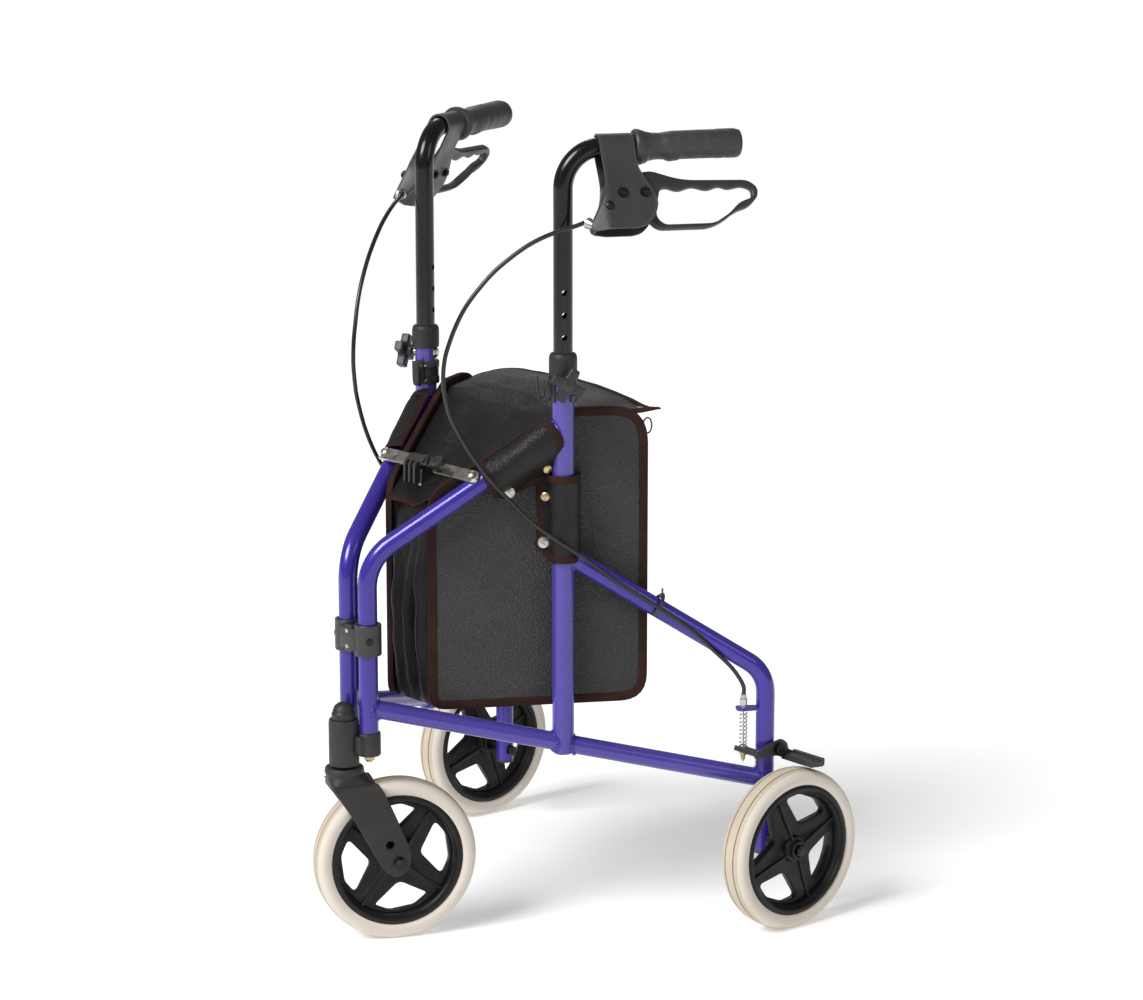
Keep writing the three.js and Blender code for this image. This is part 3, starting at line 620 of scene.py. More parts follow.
PURPLE = paint("purple_gloss_paint", (0.038, 0.022, 0.26), (0.048, 0.03, 0.32))
BLACK_PAINT = paint("black_gloss_paint", (0.004, 0.004, 0.005), (0.007, 0.007, 0.007), coat=0.4)
PLATE = moulded("brake_plate_coat", (0.031, 0.0295, 0.029), (0.04, 0.038, 0.037), 0.42, 1200, 0.0002)
GREY_PLASTIC = moulded("grey_moulded_plastic", (0.016, 0.0147, 0.014), (0.025, 0.023, 0.0218), 0.5,
                       specular=0.4)
BLACK_PLASTIC = moulded("black_moulded_plastic", (0.018, 0.018, 0.0185), (0.028, 0.0275, 0.028), 0.4)
RIM_PLASTIC = moulded("rim_moulded_plastic", (0.006, 0.0057, 0.0054), (0.011, 0.0105, 0.01), 0.42,
                      specular=0.25)
GRIP_RUBBER = moulded("grip_rubber", (0.03, 0.0288, 0.028), (0.044, 0.0422, 0.0412), 0.5, 420,
                      0.0006)
SHEATH = moulded("cable_sheath", (0.008, 0.008, 0.009), (0.014, 0.014, 0.016), 0.25, 500, 0.0002)
NICKEL = metal("nickel_plate", (0.66, 0.63, 0.56), (0.5, 0.47, 0.41), 0.3)
BRASS = metal("yellow_passivated_steel", (0.62, 0.5, 0.26), (0.48, 0.38, 0.2), 0.3)
DARK_BOLT = metal("black_oxide_steel", (0.055, 0.05, 0.045), (0.03, 0.028, 0.026), 0.35)
VINYL = leathery("grained_vinyl", (0.02, 0.02, 0.02), (0.036, 0.0355, 0.035), 0.46, 330)
SOFT_VINYL = leathery("soft_vinyl", (0.006, 0.0058, 0.0058), (0.011, 0.0105, 0.0103), 0.31, 420, 0.35,
                      0.32)
BINDING = woven("woven_binding", (0.017, 0.0052, 0.004), (0.034, 0.0115, 0.009))
TYRE_SIDE = moulded("tyre_sidewall", (0.55, 0.495, 0.43), (0.63, 0.575, 0.51), 0.62, 500, 0.0005)
TYRE_TREAD = moulded("tyre_tread", (0.42, 0.36, 0.275), (0.52, 0.46, 0.37), 0.7, 350, 0.0008)
TYRE_LINE = moulded("tyre_parting_line", (0.27, 0.19, 0.12), (0.36, 0.27, 0.18), 0.75)


# ---- frame tubes ----
def along_diagonal(s):
    return FRONT_BEND_Z + (DIAGONAL_TOP_Z - FRONT_BEND_Z) * s / UPRIGHT_S


def lower_z(s):
    return LOWER_FRONT_Z + (LOWER_REAR_Z - LOWER_FRONT_Z) * s / REAR_S


def frame_tubes():
    up = (0, 0, 1)
    diagonal = Vector((UPRIGHT_S, 0, DIAGONAL_TOP_Z - FRONT_BEND_Z))
    path = bent([(0, 0, POST_BOTTOM_Z), (0, 0, FRONT_BEND_Z), (208, 0, along_diagonal(208))], 60)
    front = sweep(path, circle(TUBE_R, 40), ups=(0, 1, 0))
    ring = saddle((190, 0, along_diagonal(190)), diagonal, TUBE_R, (UPRIGHT_S, 0, 0), up, UPRIGHT_R)
    pair("front_bent_tube", joined(front, tube_end(path[-1], ring), weld(ring)), FRAME, "frame",
         PURPLE, ["front_tube"])

    rear_dir = Vector((REAR_S - UPRIGHT_S, 0, REAR_BEND_Z - REAR_DIAGONAL_Z))
    first = Vector((UPRIGHT_S, 0, REAR_DIAGONAL_Z)) + rear_dir.normalized() * 22
    path = bent([first, (REAR_S, 0, REAR_BEND_Z), (REAR_S, 0, REAR_POST_BOTTOM_Z)], 45)
    rear = sweep(path, circle(TUBE_R, 40), ups=(0, 1, 0))
    ring = saddle(first + rear_dir.normalized() * 15, -rear_dir, TUBE_R, (UPRIGHT_S, 0, 0), up, UPRIGHT_R)
    pair("rear_bent_tube", joined(rear, tube_end(path[0], ring), weld(ring)), FRAME, "frame",
         PURPLE, ["rear_tube"])

    low_dir = Vector((REAR_S, 0, LOWER_REAR_Z - LOWER_FRONT_Z)).normalized()
    ends = [Vector((s, 0, lower_z(s))) for s in (6, REAR_S - 6)]
    bar = sweep([ends[0], ends[1]], circle(TUBE_R - 0.4, 40), ups=(0, 1, 0))
    beads = []
    for s, way in ((0, -1), (REAR_S, 1)):
        start = Vector((s, 0, lower_z(s))) - low_dir * way * 40
        beads.append(weld(saddle(start, low_dir * way, TUBE_R - 0.4, (s, 0, 0), up, TUBE_R)))
    for way in (-1, 1):
        start = Vector((UPRIGHT_S, 0, lower_z(UPRIGHT_S))) - low_dir * way * 40
        beads.append(weld(saddle(start, low_dir * way, TUBE_R - 0.4, (UPRIGHT_S, 0, 0), up, UPRIGHT_R)))
    pair("lower_bar", joined(bar, *beads), FRAME, "frame", PURPLE, ["lower_tube"])

    bottom = lower_z(UPRIGHT_S) - TUBE_R - 1
    profile = [(0, bottom + 1), (UPRIGHT_R - 2, bottom), (UPRIGHT_R, bottom + 2), (UPRIGHT_R, UPRIGHT_TOP_Z),
               (HANDLE_R + 0.4, UPRIGHT_TOP_Z), (HANDLE_R + 0.4, BORE_BOTTOM_Z), (0, BORE_BOTTOM_Z)]
    pair("upright_post", lathe(profile, (UPRIGHT_S, 0, 0), up, 48), FRAME, "frame", PURPLE, ["upright_tube"])
    plug = lathe([(0, -3), (9, -3), (TUBE_R + 0.4, -1.5), (TUBE_R + 0.4, 1), (0, 1)],
                 (REAR_S, 0, REAR_POST_BOTTOM_Z), up)
    pair("post_end_plug", plug, FRAME, "frame", BLACK_PLASTIC)


def tube_end(last, ring):
    """The short stretch from a tube's square end to its saddle."""
    centre = sum(ring, Vector()) / len(ring)
    direction = (centre - last).normalized()
    start = [p - direction * (p - last).dot(direction) - direction * 2 for p in ring]
    inner = [p + (centre - p) * 0.25 + direction * 1.5 for p in ring]
    return loft([start, ring, inner])


def collar_and_clip():
    r = HANDLE_R + 0.45
    profile = [(UPRIGHT_R + 0.2, 654.4), (15.2, 654), (16, 655), (16.1, 673), (15.7, 676.5), (14.6, 679),
               (13.4, 680), (r + 0.6, 680), (r, 679.2), (r, 668.6), (UPRIGHT_R + 0.2, 668.4)]
    base = (UPRIGHT_S, 0, 0)
    pair("collar_bush", lathe(profile, base, (0, 0, 1), 56, closed=True), FRAME, "frame",
         GREY_PLASTIC, ["height_collar"])
    hook_path = smooth_line([(209, 0, 640), (208.5, 0, 630), (206.5, 0, 619), (202, 0, 612.5),
                             (197.5, 0, 614), (195.5, 0, 622), (195, 0, 632), (194.5, 0, 641)], 5)
    for side, sign in SIDES:
        rise = CLIP_LIFT if sign > 0 else 0
        rings = []
        for k in range(45):
            turn = math.radians(-62 + 282 * k / 44)
            ring = []
            for r, z in ((UPRIGHT_R + 0.2, 611), (15.4, 611), (16, 612), (16, 618.4), (15.2, 619.4),
                         (15.2, 629.6), (16, 630.6), (16, 637), (15.4, 638), (UPRIGHT_R + 0.2, 638)):
                ring.append((UPRIGHT_S + r * math.cos(turn), r * math.sin(turn), z))
            rings.append(ring)
        ear = block((UPRIGHT_S - 21, -5.5, 615), (UPRIGHT_S - 13.5, 5.5, 635), 1.2)
        hook = sweep(hook_path, rounded_section(1.4, 4.2, 1.0), ups=(0, 1, 0))
        place = FRAME @ shifted(0, 0, rise)
        on_side(side, sign, "hook_band", joined(loft(rings), ear, hook), place, "frame", BLACK_PLASTIC,
                ["hook_clip"])
        tips = [lathe([(0, 0), (2, 0), (1.6, 1), (0, 1.4)], (UPRIGHT_S - 15.4, y, z), (-0.5, y / 9, 0), 16)
                for y, z in ((6.5, 616), (6.5, 633))]
        on_side(side, sign, "hook_band_screws", joined(*tips), place, "frame", NICKEL)


def star_knob():
    outline, arms, tip, valley, flat_end = [], 4, 20.6, 10.4, 0.26
    half_step = math.pi / arms
    for k in range(144):
        turn = 2 * math.pi * k / 144
        away = abs((turn + half_step) % (2 * half_step) - half_step)
        if away < flat_end:
            radius = tip * math.cos(flat_end) / math.cos(away)
        else:
            share = (away - flat_end) / (half_step - flat_end)
            radius = valley + (tip - valley) * (1 - share) ** 2.3
        radius = min(radius, tip * 0.985)
        outline.append((radius * math.sin(turn + ARM_TURN), radius * math.cos(turn + ARM_TURN)))
    head = plate(outline, -33, -22, 2.4, steps=4)
    hub = lathe([(0, 16.2), (7.4, 16.2), (8, 16.8), (8, 21), (9.5, 23.5), (0, 23.5)], (0, 0, 0), (0, -1, 0))
    cap = lathe([(0, 32.5), (6.5, 32.5), (6.5, 33.3), (5.4, 33.9), (0, 34.1)], (0, 0, 0), (0, -1, 0))
    pair("star_knob", joined(head, hub, cap), STAR, "knob", BLACK_PLASTIC, ["height_knob"])
    shank = rod((0, -17, 0), (0, -11.8, 0), 3)
    pair("knob_screw", shank, STAR, "knob", NICKEL)
    dome = lathe([(0, 12.2), (6.4, 12.2), (6.3, 13.4), (4.6, 15.6), (0, 16.6)], (0, 0, 0), (0, 1, 0))
    pair("knob_bolt_head", dome, STAR, "frame", NICKEL)


# ---- handle and brake set ----
def handle_bar():
    turn = Matrix.Rotation(HANDLE_TURN, 3, "Z")
    end = turn @ Vector((GRIP_END - 6, 0, 0)) + Vector((UPRIGHT_S, 0, HANDLE_Z))
    path = bent([(UPRIGHT_S, 0, HANDLE_BOTTOM_Z), (UPRIGHT_S, 0, HANDLE_Z), end], HANDLE_BEND_R, 20)
    side = (math.cos(HANDLE_TURN + math.pi / 2), math.sin(HANDLE_TURN + math.pi / 2), 0)
    outer = sweep(path, circle(HANDLE_R, 48), ups=side, caps=False)
    inner = sweep(path, circle(HANDLE_R - 1.6, 48), ups=side, caps=False)
    tube = joined(outer, inner)
    count, rows = 48, len(path)
    for row in (0, rows - 1):
        for k in range(count):
            a, b = row * count + k, row * count + (k + 1) % count
            tube.faces.append((a, b, b + rows * count, a + rows * count))
            tube.uvs.append([(0, 0), (0, 0.001), (0.001, 0.001), (0.001, 0)])
            tube.slots.append(0)
    drills = []
    for i in (-1, 0, 2, 3, 4):
        z = KNOB_Z + HOLE_PITCH * i
        drills.append(rod((UPRIGHT_S, -20, z), (UPRIGHT_S, 20, z), 3.3, 24, 0.1))
    pair("handle_bar", drilled(tube, drills), FRAME, "handle", BLACK_PAINT, ["handle_tube"])


def hand_grip():
    """The grip: a flange, a waist, finger swells under it and a smooth palm end behind a curved groove."""
    top = [(81, 17.4), (83, 18.6), (86, 18.5), (90, 17), (95, 15.2), (102, 13.9), (110, 13.7), (118, 14.8),
           (126, 15.7), (160, 16.1), (196, 16.5), (201, 16.1), (204, 14.6), (205, 12.5)]
    under = [(81, 18.5), (83, 20.6), (87, 22), (92, 20.6), (98, 17.6), (105, 16.4), (114, 16.8),
             (122, 19.2), (128, 18.6), (136, 17), (160, 16.8), (198, 16.8), (202, 16.2), (204, 14.6),
             (205, 12.5)]
    rings, sides = [], 56
    stations = [GRIP_START + (GRIP_END - GRIP_START) * k / 124 for k in range(125)]
    for t in stations:
        ring = []
        for k in range(sides):
            turn = 2 * math.pi * k / sides
            down = 0.5 - 0.5 * math.sin(turn)
            radius = between(t, top) * (1 - down) + between(t, under) * down
            flank = abs(math.cos(turn))
            swell = 0.5 + 0.5 * math.cos(2 * math.pi * (t - 116) / 17)
            if 107 < t < 176:
                radius += 1.1 * swell * flank ** 2 - 0.3
            groove = 186 + 15 * (0.5 + 0.5 * math.sin(turn)) ** 1.6
            radius -= 0.7 * math.exp(-((t - groove) / 1.1) ** 2)
            ring.append((t, radius * math.cos(turn), radius * math.sin(turn)))
        rings.append(ring)
    hollow = [[(GRIP_START, y * 0.62, z * 0.62) for _, y, z in rings[0]]]
    dished = [[(GRIP_END - 0.6, y * 0.8, z * 0.8) for _, y, z in rings[-1]]]
    pair("hand_grip", loft(hollow + rings + dished), HANDLE, "handle", GRIP_RUBBER,
         ["grip"], angle=50)


def brake_housing():
    """A folded plate over the handle: two cheeks, a saddle, and a nose that tapers to the cable."""
    half, wall, steps = 14.3, 2.2, 14
    front = [(0, 38.2), (12, 38.6), (32, 40), (44, 40.3), (55, 39), (64, 37), (71, 34.2), (83, 27.5),
             (92, 22.6), (98, 20.4), (101, 21.2), (102.5, 26)]
    back = [(0, 78.5), (26, 78.7), (31, 79.8), (36, 81.8), (45, 85.8), (54, 90.8), (63, 94.8), (70, 97.2),
            (77, 96.8), (85, 93.8), (92, 89.5), (97, 84.6), (100.5, 79), (102.5, 70)]
    depths = [102.5, 101.5, 100, 98, 95, 92, 88, 84, 80, 76, 72, 68, 64, 60, 56, 52, 48, 44, 40, 36, 32, 26,
              20, 12, 5]

    def cheek_half(t, d, offset):
        taper = max(0.0, 39.5 - t) * between(d, [(50, 0), (66, 0.42)])
        return half - offset - taper

    def row(d, side, offset):
        low, high = straight(d, front), straight(d, back)
        stations = [low + (high - low) * k / steps for k in range(steps + 1)]
        return [Vector((t, side * cheek_half(t, d, offset), -d)) for t in stations]

    def over(angle, offset):
        r = half - offset
        stations = [38.2 + (78.5 - 38.2) * k / steps for k in range(steps + 1)]
        return [Vector((t, -r * math.cos(angle), r * math.sin(angle))) for t in stations]

    skins = []
    for offset in (0, wall):
        rows = [row(d, -1, offset) for d in depths]
        rows += [over(math.pi * k / 16, offset) for k in range(17)]
        rows += [row(d, 1, offset) for d in reversed(depths)]
        skins.append(rows)
    body = Shape()
    outer, inner = skins
    rings = []
    for o, i in zip(outer, inner):
        rings.append(o + list(reversed(i)))
    body.add(loft(rings))
    web = []
    for d in [102, 98, 94, 90, 86, 82, 78, 74, 70, 66, 62, 58, 54, 51]:
        t = straight(d, front)
        y = cheek_half(t, d, 0.6)
        bow = [Vector((t - 1.4 * math.sin(math.pi * k / 8), -y * math.cos(math.pi * k / 8), -d))
               for k in range(9)]
        web.append(bow + [p + Vector((wall, 0, 0)) for p in reversed(bow)])
    body.add(loft(web))
    pair("brake_plate", body, BRAKE, "handle", PLATE, ["brake_housing"], angle=40)

    fixings = Shape()
    for t, d in ((58.3, 60.9), (LEVER_PIVOT, LEVER_DROP)):
        target = Shape()
        for way in (-1, 1):
            seat = Vector((t, way * half, -d))
            target.add(lathe([(0, 0), (6.2, 0), (6, 1), (4.8, 1.2), (0, 1.2)], seat, (0, way, 0), 28),
                       hexagon(seat + Vector((0, way, 0)), (0, way, 0), 4.6, 3),
                       lathe([(0, 0), (2.4, 0), (2.4, 4.3), (1.8, 5), (0, 5.1)], seat, (0, way, 0), 20))
        if t == LEVER_PIVOT:
            target.add(rod((t, -half, -d), (t, half, -d), 3, 20))
            pair("lever_bolt", target, BRAKE, "handle", DARK_BOLT, ["lever_pin"])
        else:
            fixings.add(target)
    for way in (-1, 1):
        seat = Vector((41, way * half, -75.3))
        fixings.add(lathe([(0, 0), (5, 0), (4.6, 1.8), (2.8, 3.2), (0, 3.7)], seat, (0, way, 0), 28))
    pair("plate_fixings", fixings, BRAKE, "handle", DARK_BOLT)


def loop_lever():
    outline = rounded([
        (80, -34, 5), (96, -32, 6), (130, -44, 16), (207, -46, 7), (217.5, -55, 5), (217, -66, 5),
        (205, -78, 7), (190, -82.5, 7), (160, -101.5, 14), (96, -101.5, 8), (84, -88, 5), (76, -72, 6),
        (74, -52, 6)])
    loop = rounded([
        (104, -54, 4), (112, -52, 4), (125, -57, 6), (142, -51.5, 6), (159, -57, 6), (173, -52, 5),
        (183, -56, 4), (200, -53, 5), (210, -57, 4), (210, -67, 4), (195, -72, 5), (180, -86, 8),
        (163, -96, 8), (104, -96, 6), (96.5, -87, 5), (97.5, -76, 4)])
    pair("loop_lever", plate(outline, -5, 5, 2.5, [loop], steps=4), BRAKE, "lever", BLACK_PLASTIC,
         ["brake_lever"], angle=50)


def brake_cable():
    path = smooth_line(CABLE_ROUTE, 7)
    run = sweep(path, circle(2.5, 14))
    for side, sign in SIDES:
        cable = build(f"cable_run_{side}", run, FRAME, [SHEATH], 60, sign < 0)
        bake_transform(cable)
        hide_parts(f"brake_cable_{side}")
    local = BRAKE.inverted() @ FRAME @ Vector(CABLE_ROUTE[0])
    seat = Vector((22, 0, -93))
    reach = (local - seat).length
    barrel = lathe([(0, -3), (5.4, -3), (5.8, -2), (5.8, 3.4), (6.4, 3.6), (6.4, 6.6), (5.6, 7.4),
                    (3.6, 7.8), (3.4, reach - 5), (2.9, reach - 1), (2.7, reach + 1), (0, reach + 1)],
                   seat, local - seat, 32)
    pair("cable_adjuster", barrel, BRAKE, "handle", NICKEL)

    tie_at = Vector(CABLE_ROUTE[23])
    tie = []
    for k in range(28):
        turn = 2 * math.pi * k / 28
        across = Vector((math.sin(0.575), 0, math.cos(0.575)))
        reach_y, reach_z = 15.6, 12.4
        tie.append(tie_at + Vector((0, 14.6, 0)) + Vector((0, -1, 0)) * reach_y * math.cos(turn)
                   + across * reach_z * math.sin(turn))
    along = (math.cos(0.575), 0, -math.sin(0.575))
    strap = sweep(tie, rounded_section(0.7, 2.2, 0.4, 2), closed=True, ups=along)
    head = block((-2.6, -3.4, -2.6), (2.6, 3.4, 2.6), 0.6).moved(Matrix.Translation(tie[7]))
    tail = block((-0.9, -1.6, 0), (0.9, 1.6, 9), 0.4).moved(Matrix.Translation(tie[7]))
    pair("cable_tie", joined(strap, head, tail), FRAME, "frame", BLACK_PLASTIC)


# ---- cable stop, spring and brake arm ----
def cable_stop():
    tab = plate(rounded([(STOP_S - 9, -9, 7), (STOP_S + 6, -9, 3), (REAR_S - 6, -6.5, 1),
                         (REAR_S - 6, 6.5, 1), (STOP_S + 6, 9, 3), (STOP_S - 9, 9, 7)]), 0, 3, 0.5)
    tab.moved(shifted(0, 0, STOP_Z + 3) @ Matrix.Rotation(math.pi / 2, 4, "X"))
    ring = [Vector((REAR_S - 9.4, y, STOP_Z + 1.5)) for y in (-6, 6)]
    bead = sweep(ring, circle(1.8, 10))
    pair("stop_tongue", joined(tab, bead), FRAME, "frame", PURPLE, ["cable_stop"])
    base = (STOP_S, 0, 0)
    barrel = lathe([(0, 253.2), (3.4, 253.2), (3.4, 259), (4.4, 259.4), (4.4, 266), (3.6, 266.6),
                    (3.2, 271.5), (0, 271.5)], base, (0, 0, 1), 28)
    pair("adjuster_barrel", joined(barrel, hexagon((STOP_S, 0, 253.1), (0, 0, 1), 5.4, 3.4)), FRAME,
         "frame", NICKEL)
    turns, steps, low, high = 8, 22, 211.6, 249.4
    coil = []
    for k in range(turns * steps + 1):
        angle = 2 * math.pi * k / steps
        coil.append((STOP_S + 4.2 * math.cos(angle), 4.2 * math.sin(angle),
                     low + (high - low) * k / (turns * steps)))
    for side, sign in SIDES:
        spring = on_side(side, sign, "return_spring", sweep(coil, circle(0.75, 8)), FRAME, "frame", NICKEL,
                         ["brake_spring"], 60)
        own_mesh(spring)
    wire = joined(rod((STOP_S, 0, 190), (STOP_S, 0, 252), 0.9, 12, 0.2),
                  lathe([(0, 207.3), (5.6, 207.3), (5.6, 208.4), (3, 211), (0, 211)], base, (0, 0, 1), 24))
    for side, sign in SIDES:
        piece = build(f"inner_wire_{side}", wire, FRAME, [NICKEL], 35, sign < 0)
        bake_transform(piece)
    nut = joined(hexagon((STOP_S, 0, 203), (0, 0, -1), 4.6, 4.6),
                 rod((STOP_S, 0, 199), (STOP_S, 0, 193), 2.6))
    pair("wire_clamp_nut", nut, FRAME, "brake", BRASS)


def brake_arm():
    """The black arm on the rear post: a side plate, a tab for the wire and a bar that presses the tyre."""
    outline = rounded([(-30, 201, 2), (-30, 208, 2), (-8, 215, 6), (12, 218, 4), (20, 212, 3), (22, 204, 2),
                       (30, 200, 2), (30, 192.5, 2), (16, 193.5, 3), (4, 199, 4)])
    quarter = Matrix.Rotation(math.pi / 2, 4, "Z")
    side = plate(outline, -17.6, -13.6, 1).moved(quarter)
    tab = block((-20, -31, 203.5), (15, -15.5, 207), 1)
    rib = block((-20, -30, 206), (13, -27.5, 209.5), 0.8)
    shoe = plate(rounded([(12, 193.4, 1), (32, 191.6, 1), (33, 196, 1), (31, 199, 1), (14, 200.5, 1)]),
                 -66, -15, 0.8).moved(quarter)
    lip = block((15, 29.5, 192.5), (66, 34.5, 201.5), 1.6)
    pair("paddle_arm", joined(side, tab, rib, shoe, lip), CORNER, "brake", BLACK_PLASTIC,
         ["brake_arm"], angle=40)
    y, z = BRAKE_PIVOT_Y, BRAKE_PIVOT_Z
    bolt = joined(hexagon((18, y, z), (1, 0, 0), 6.6, 4.4), hexagon((-11.6, y, z), (-1, 0, 0), 6.6, 5),
                  washer((17.4, y, z), (1, 0, 0), 8, 1.2),
                  rod((-13, y, z), (23.4, y, z), 3.6))
    pair("paddle_bolt", bolt, CORNER, "frame", DARK_BOLT, ["brake_pivot_bolt"])


# ---- wheels ----
def wheel_rim(half, spoke_turn):
    """A rim with four ridged spokes and rounded openings, about the x axis."""
    x_axis = (1, 0, 0)
    outer = [(RIM_R, 15), (75.6, 16.2), (74.6, 16.8), (72.4, 16.8), (71, 16), (70.2, 13.6), (69, 12.4),
             (68, 11.6), (67.2, 9), (66.6, 4)]
    channel = lathe([(r, -x) for r, x in reversed(outer)] + [(RIM_R, -15)] + outer, (0, 0, 0), x_axis, 96,
                    closed=True)
    holes = []
    for i in range(4):
        start = math.pi / 2 * (i + 0.5) + spoke_turn
        corners = []
        for r, swing, reach in ((29, 0.0, 7), (61.5, -0.57, 6.5), (64.5, -0.24, 5), (64.5, 0.24, 5),
                                (61.5, 0.57, 6.5)):
            a = start + swing
            corners.append((r * math.sin(a), r * math.cos(a), reach))
        holes.append(rounded(corners))
    disc = plate(circle(67.4, 72), -5, 5, 1.8, holes, steps=4)
    disc.moved(Matrix.Rotation(math.pi / 2, 4, "Z"))
    ridges = []
    for i in range(4):
        rings = []
        for r, w, h in ((10, 1.3, 13), (20, 1.2, 11.6), (36, 1.1, 9.4), (54, 1.1, 8.2), (66.8, 1.2, 8.6)):
            rings.append([(a, b, r) for a, b in rounded_section(h, w, 0.8, 3)])
        flank = []
        for r, w, h in ((12, 9.5, 9.6), (24, 8.5, 7.6), (40, 9.5, 6.4), (58, 12, 6)):
            flank.append([(h, 0, r), (4, w, r), (-4, w, r), (-h, 0, r), (-4, -w, r), (4, -w, r)])
        turn = Matrix.Rotation(-(math.pi / 2 * i + spoke_turn), 4, "X")
        ridges += [loft(rings).moved(turn), loft(flank).moved(turn)]
    outer = [(4.4, half - 5), (7.6, half - 5), (7.6, half - 0.8), (8.2, half), (10.4, half), (11.2, half - 1),
             (11.4, 12.4), (12.4, 11.6), (14.6, 11.4), (15.2, 10.6), (15.6, 9), (16.6, 4)]
    hub = lathe([(r, -x) for r, x in outer] + list(reversed(outer)), (0, 0, 0), x_axis, 56, closed=True)
    return joined(channel, disc, *ridges, hub)


def wheel_tyre():
    """A solid tyre: pale walls, a tan tread and two brown parting lines."""
    profile = [(RIM_R - 0.4, -14.6), (80, -16.6), (84, -17.5), (88, -17.2), (91.2, -15.2), (93.4, -12.2),
               (94.4, -9.2), (94.7, -7.6), (94.0, -7.0), (94.0, -6.2), (94.9, -5.6), (95, 0), (94.9, 5.6),
               (94.0, 6.2), (94.0, 7.0), (94.7, 7.6), (94.4, 9.2), (93.4, 12.2), (91.2, 15.2),
               (88, 17.2), (84, 17.5), (80, 16.6), (RIM_R - 0.4, 14.6)]
    slots = [0, 0, 0, 0, 0, 1, 1, 2, 2, 2, 1, 1, 2, 2, 2, 1, 1, 0, 0, 0, 0, 0, 0]
    return lathe(profile, (0, 0, 0), (1, 0, 0), 112, closed=True, slots=slots)


def wheels():
    tyre_looks = [TYRE_SIDE, TYRE_TREAD, TYRE_LINE]
    pair("wheel_rim", wheel_rim(18, REAR_SPOKE_TURN), REAR_WHEEL, "wheel", RIM_PLASTIC, ["rear_rim"])
    pair("wheel_tyre", wheel_tyre(), REAR_WHEEL, "wheel", tyre_looks, ["rear_tyre"])
    axle = joined(rod((-17, 0, WHEEL_R), (WHEEL_OFFSET + 22.5, 0, WHEEL_R), 4),
                  hexagon((-11.4, 0, WHEEL_R), (-1, 0, 0), 7, 5.2),
                  hexagon((WHEEL_OFFSET + 15.6, 0, WHEEL_R), (1, 0, 0), 7, 6),
                  washer((WHEEL_OFFSET + 14.4, 0, WHEEL_R), (1, 0, 0), 8.6, 1.4),
                  rod((10.4, 0, WHEEL_R), (WHEEL_OFFSET - 18.2, 0, WHEEL_R), 8))
    pair("axle_bolt", axle, CORNER, "frame", DARK_BOLT, ["rear_axle"])
    single("caster_rim", wheel_rim(16, FRONT_SPOKE_TURN), FRONT_WHEEL, "front_wheel", RIM_PLASTIC,
           ["front_rim"])
    single("caster_tyre", wheel_tyre(), FRONT_WHEEL, "front_wheel", tyre_looks,
           ["front_tyre"])


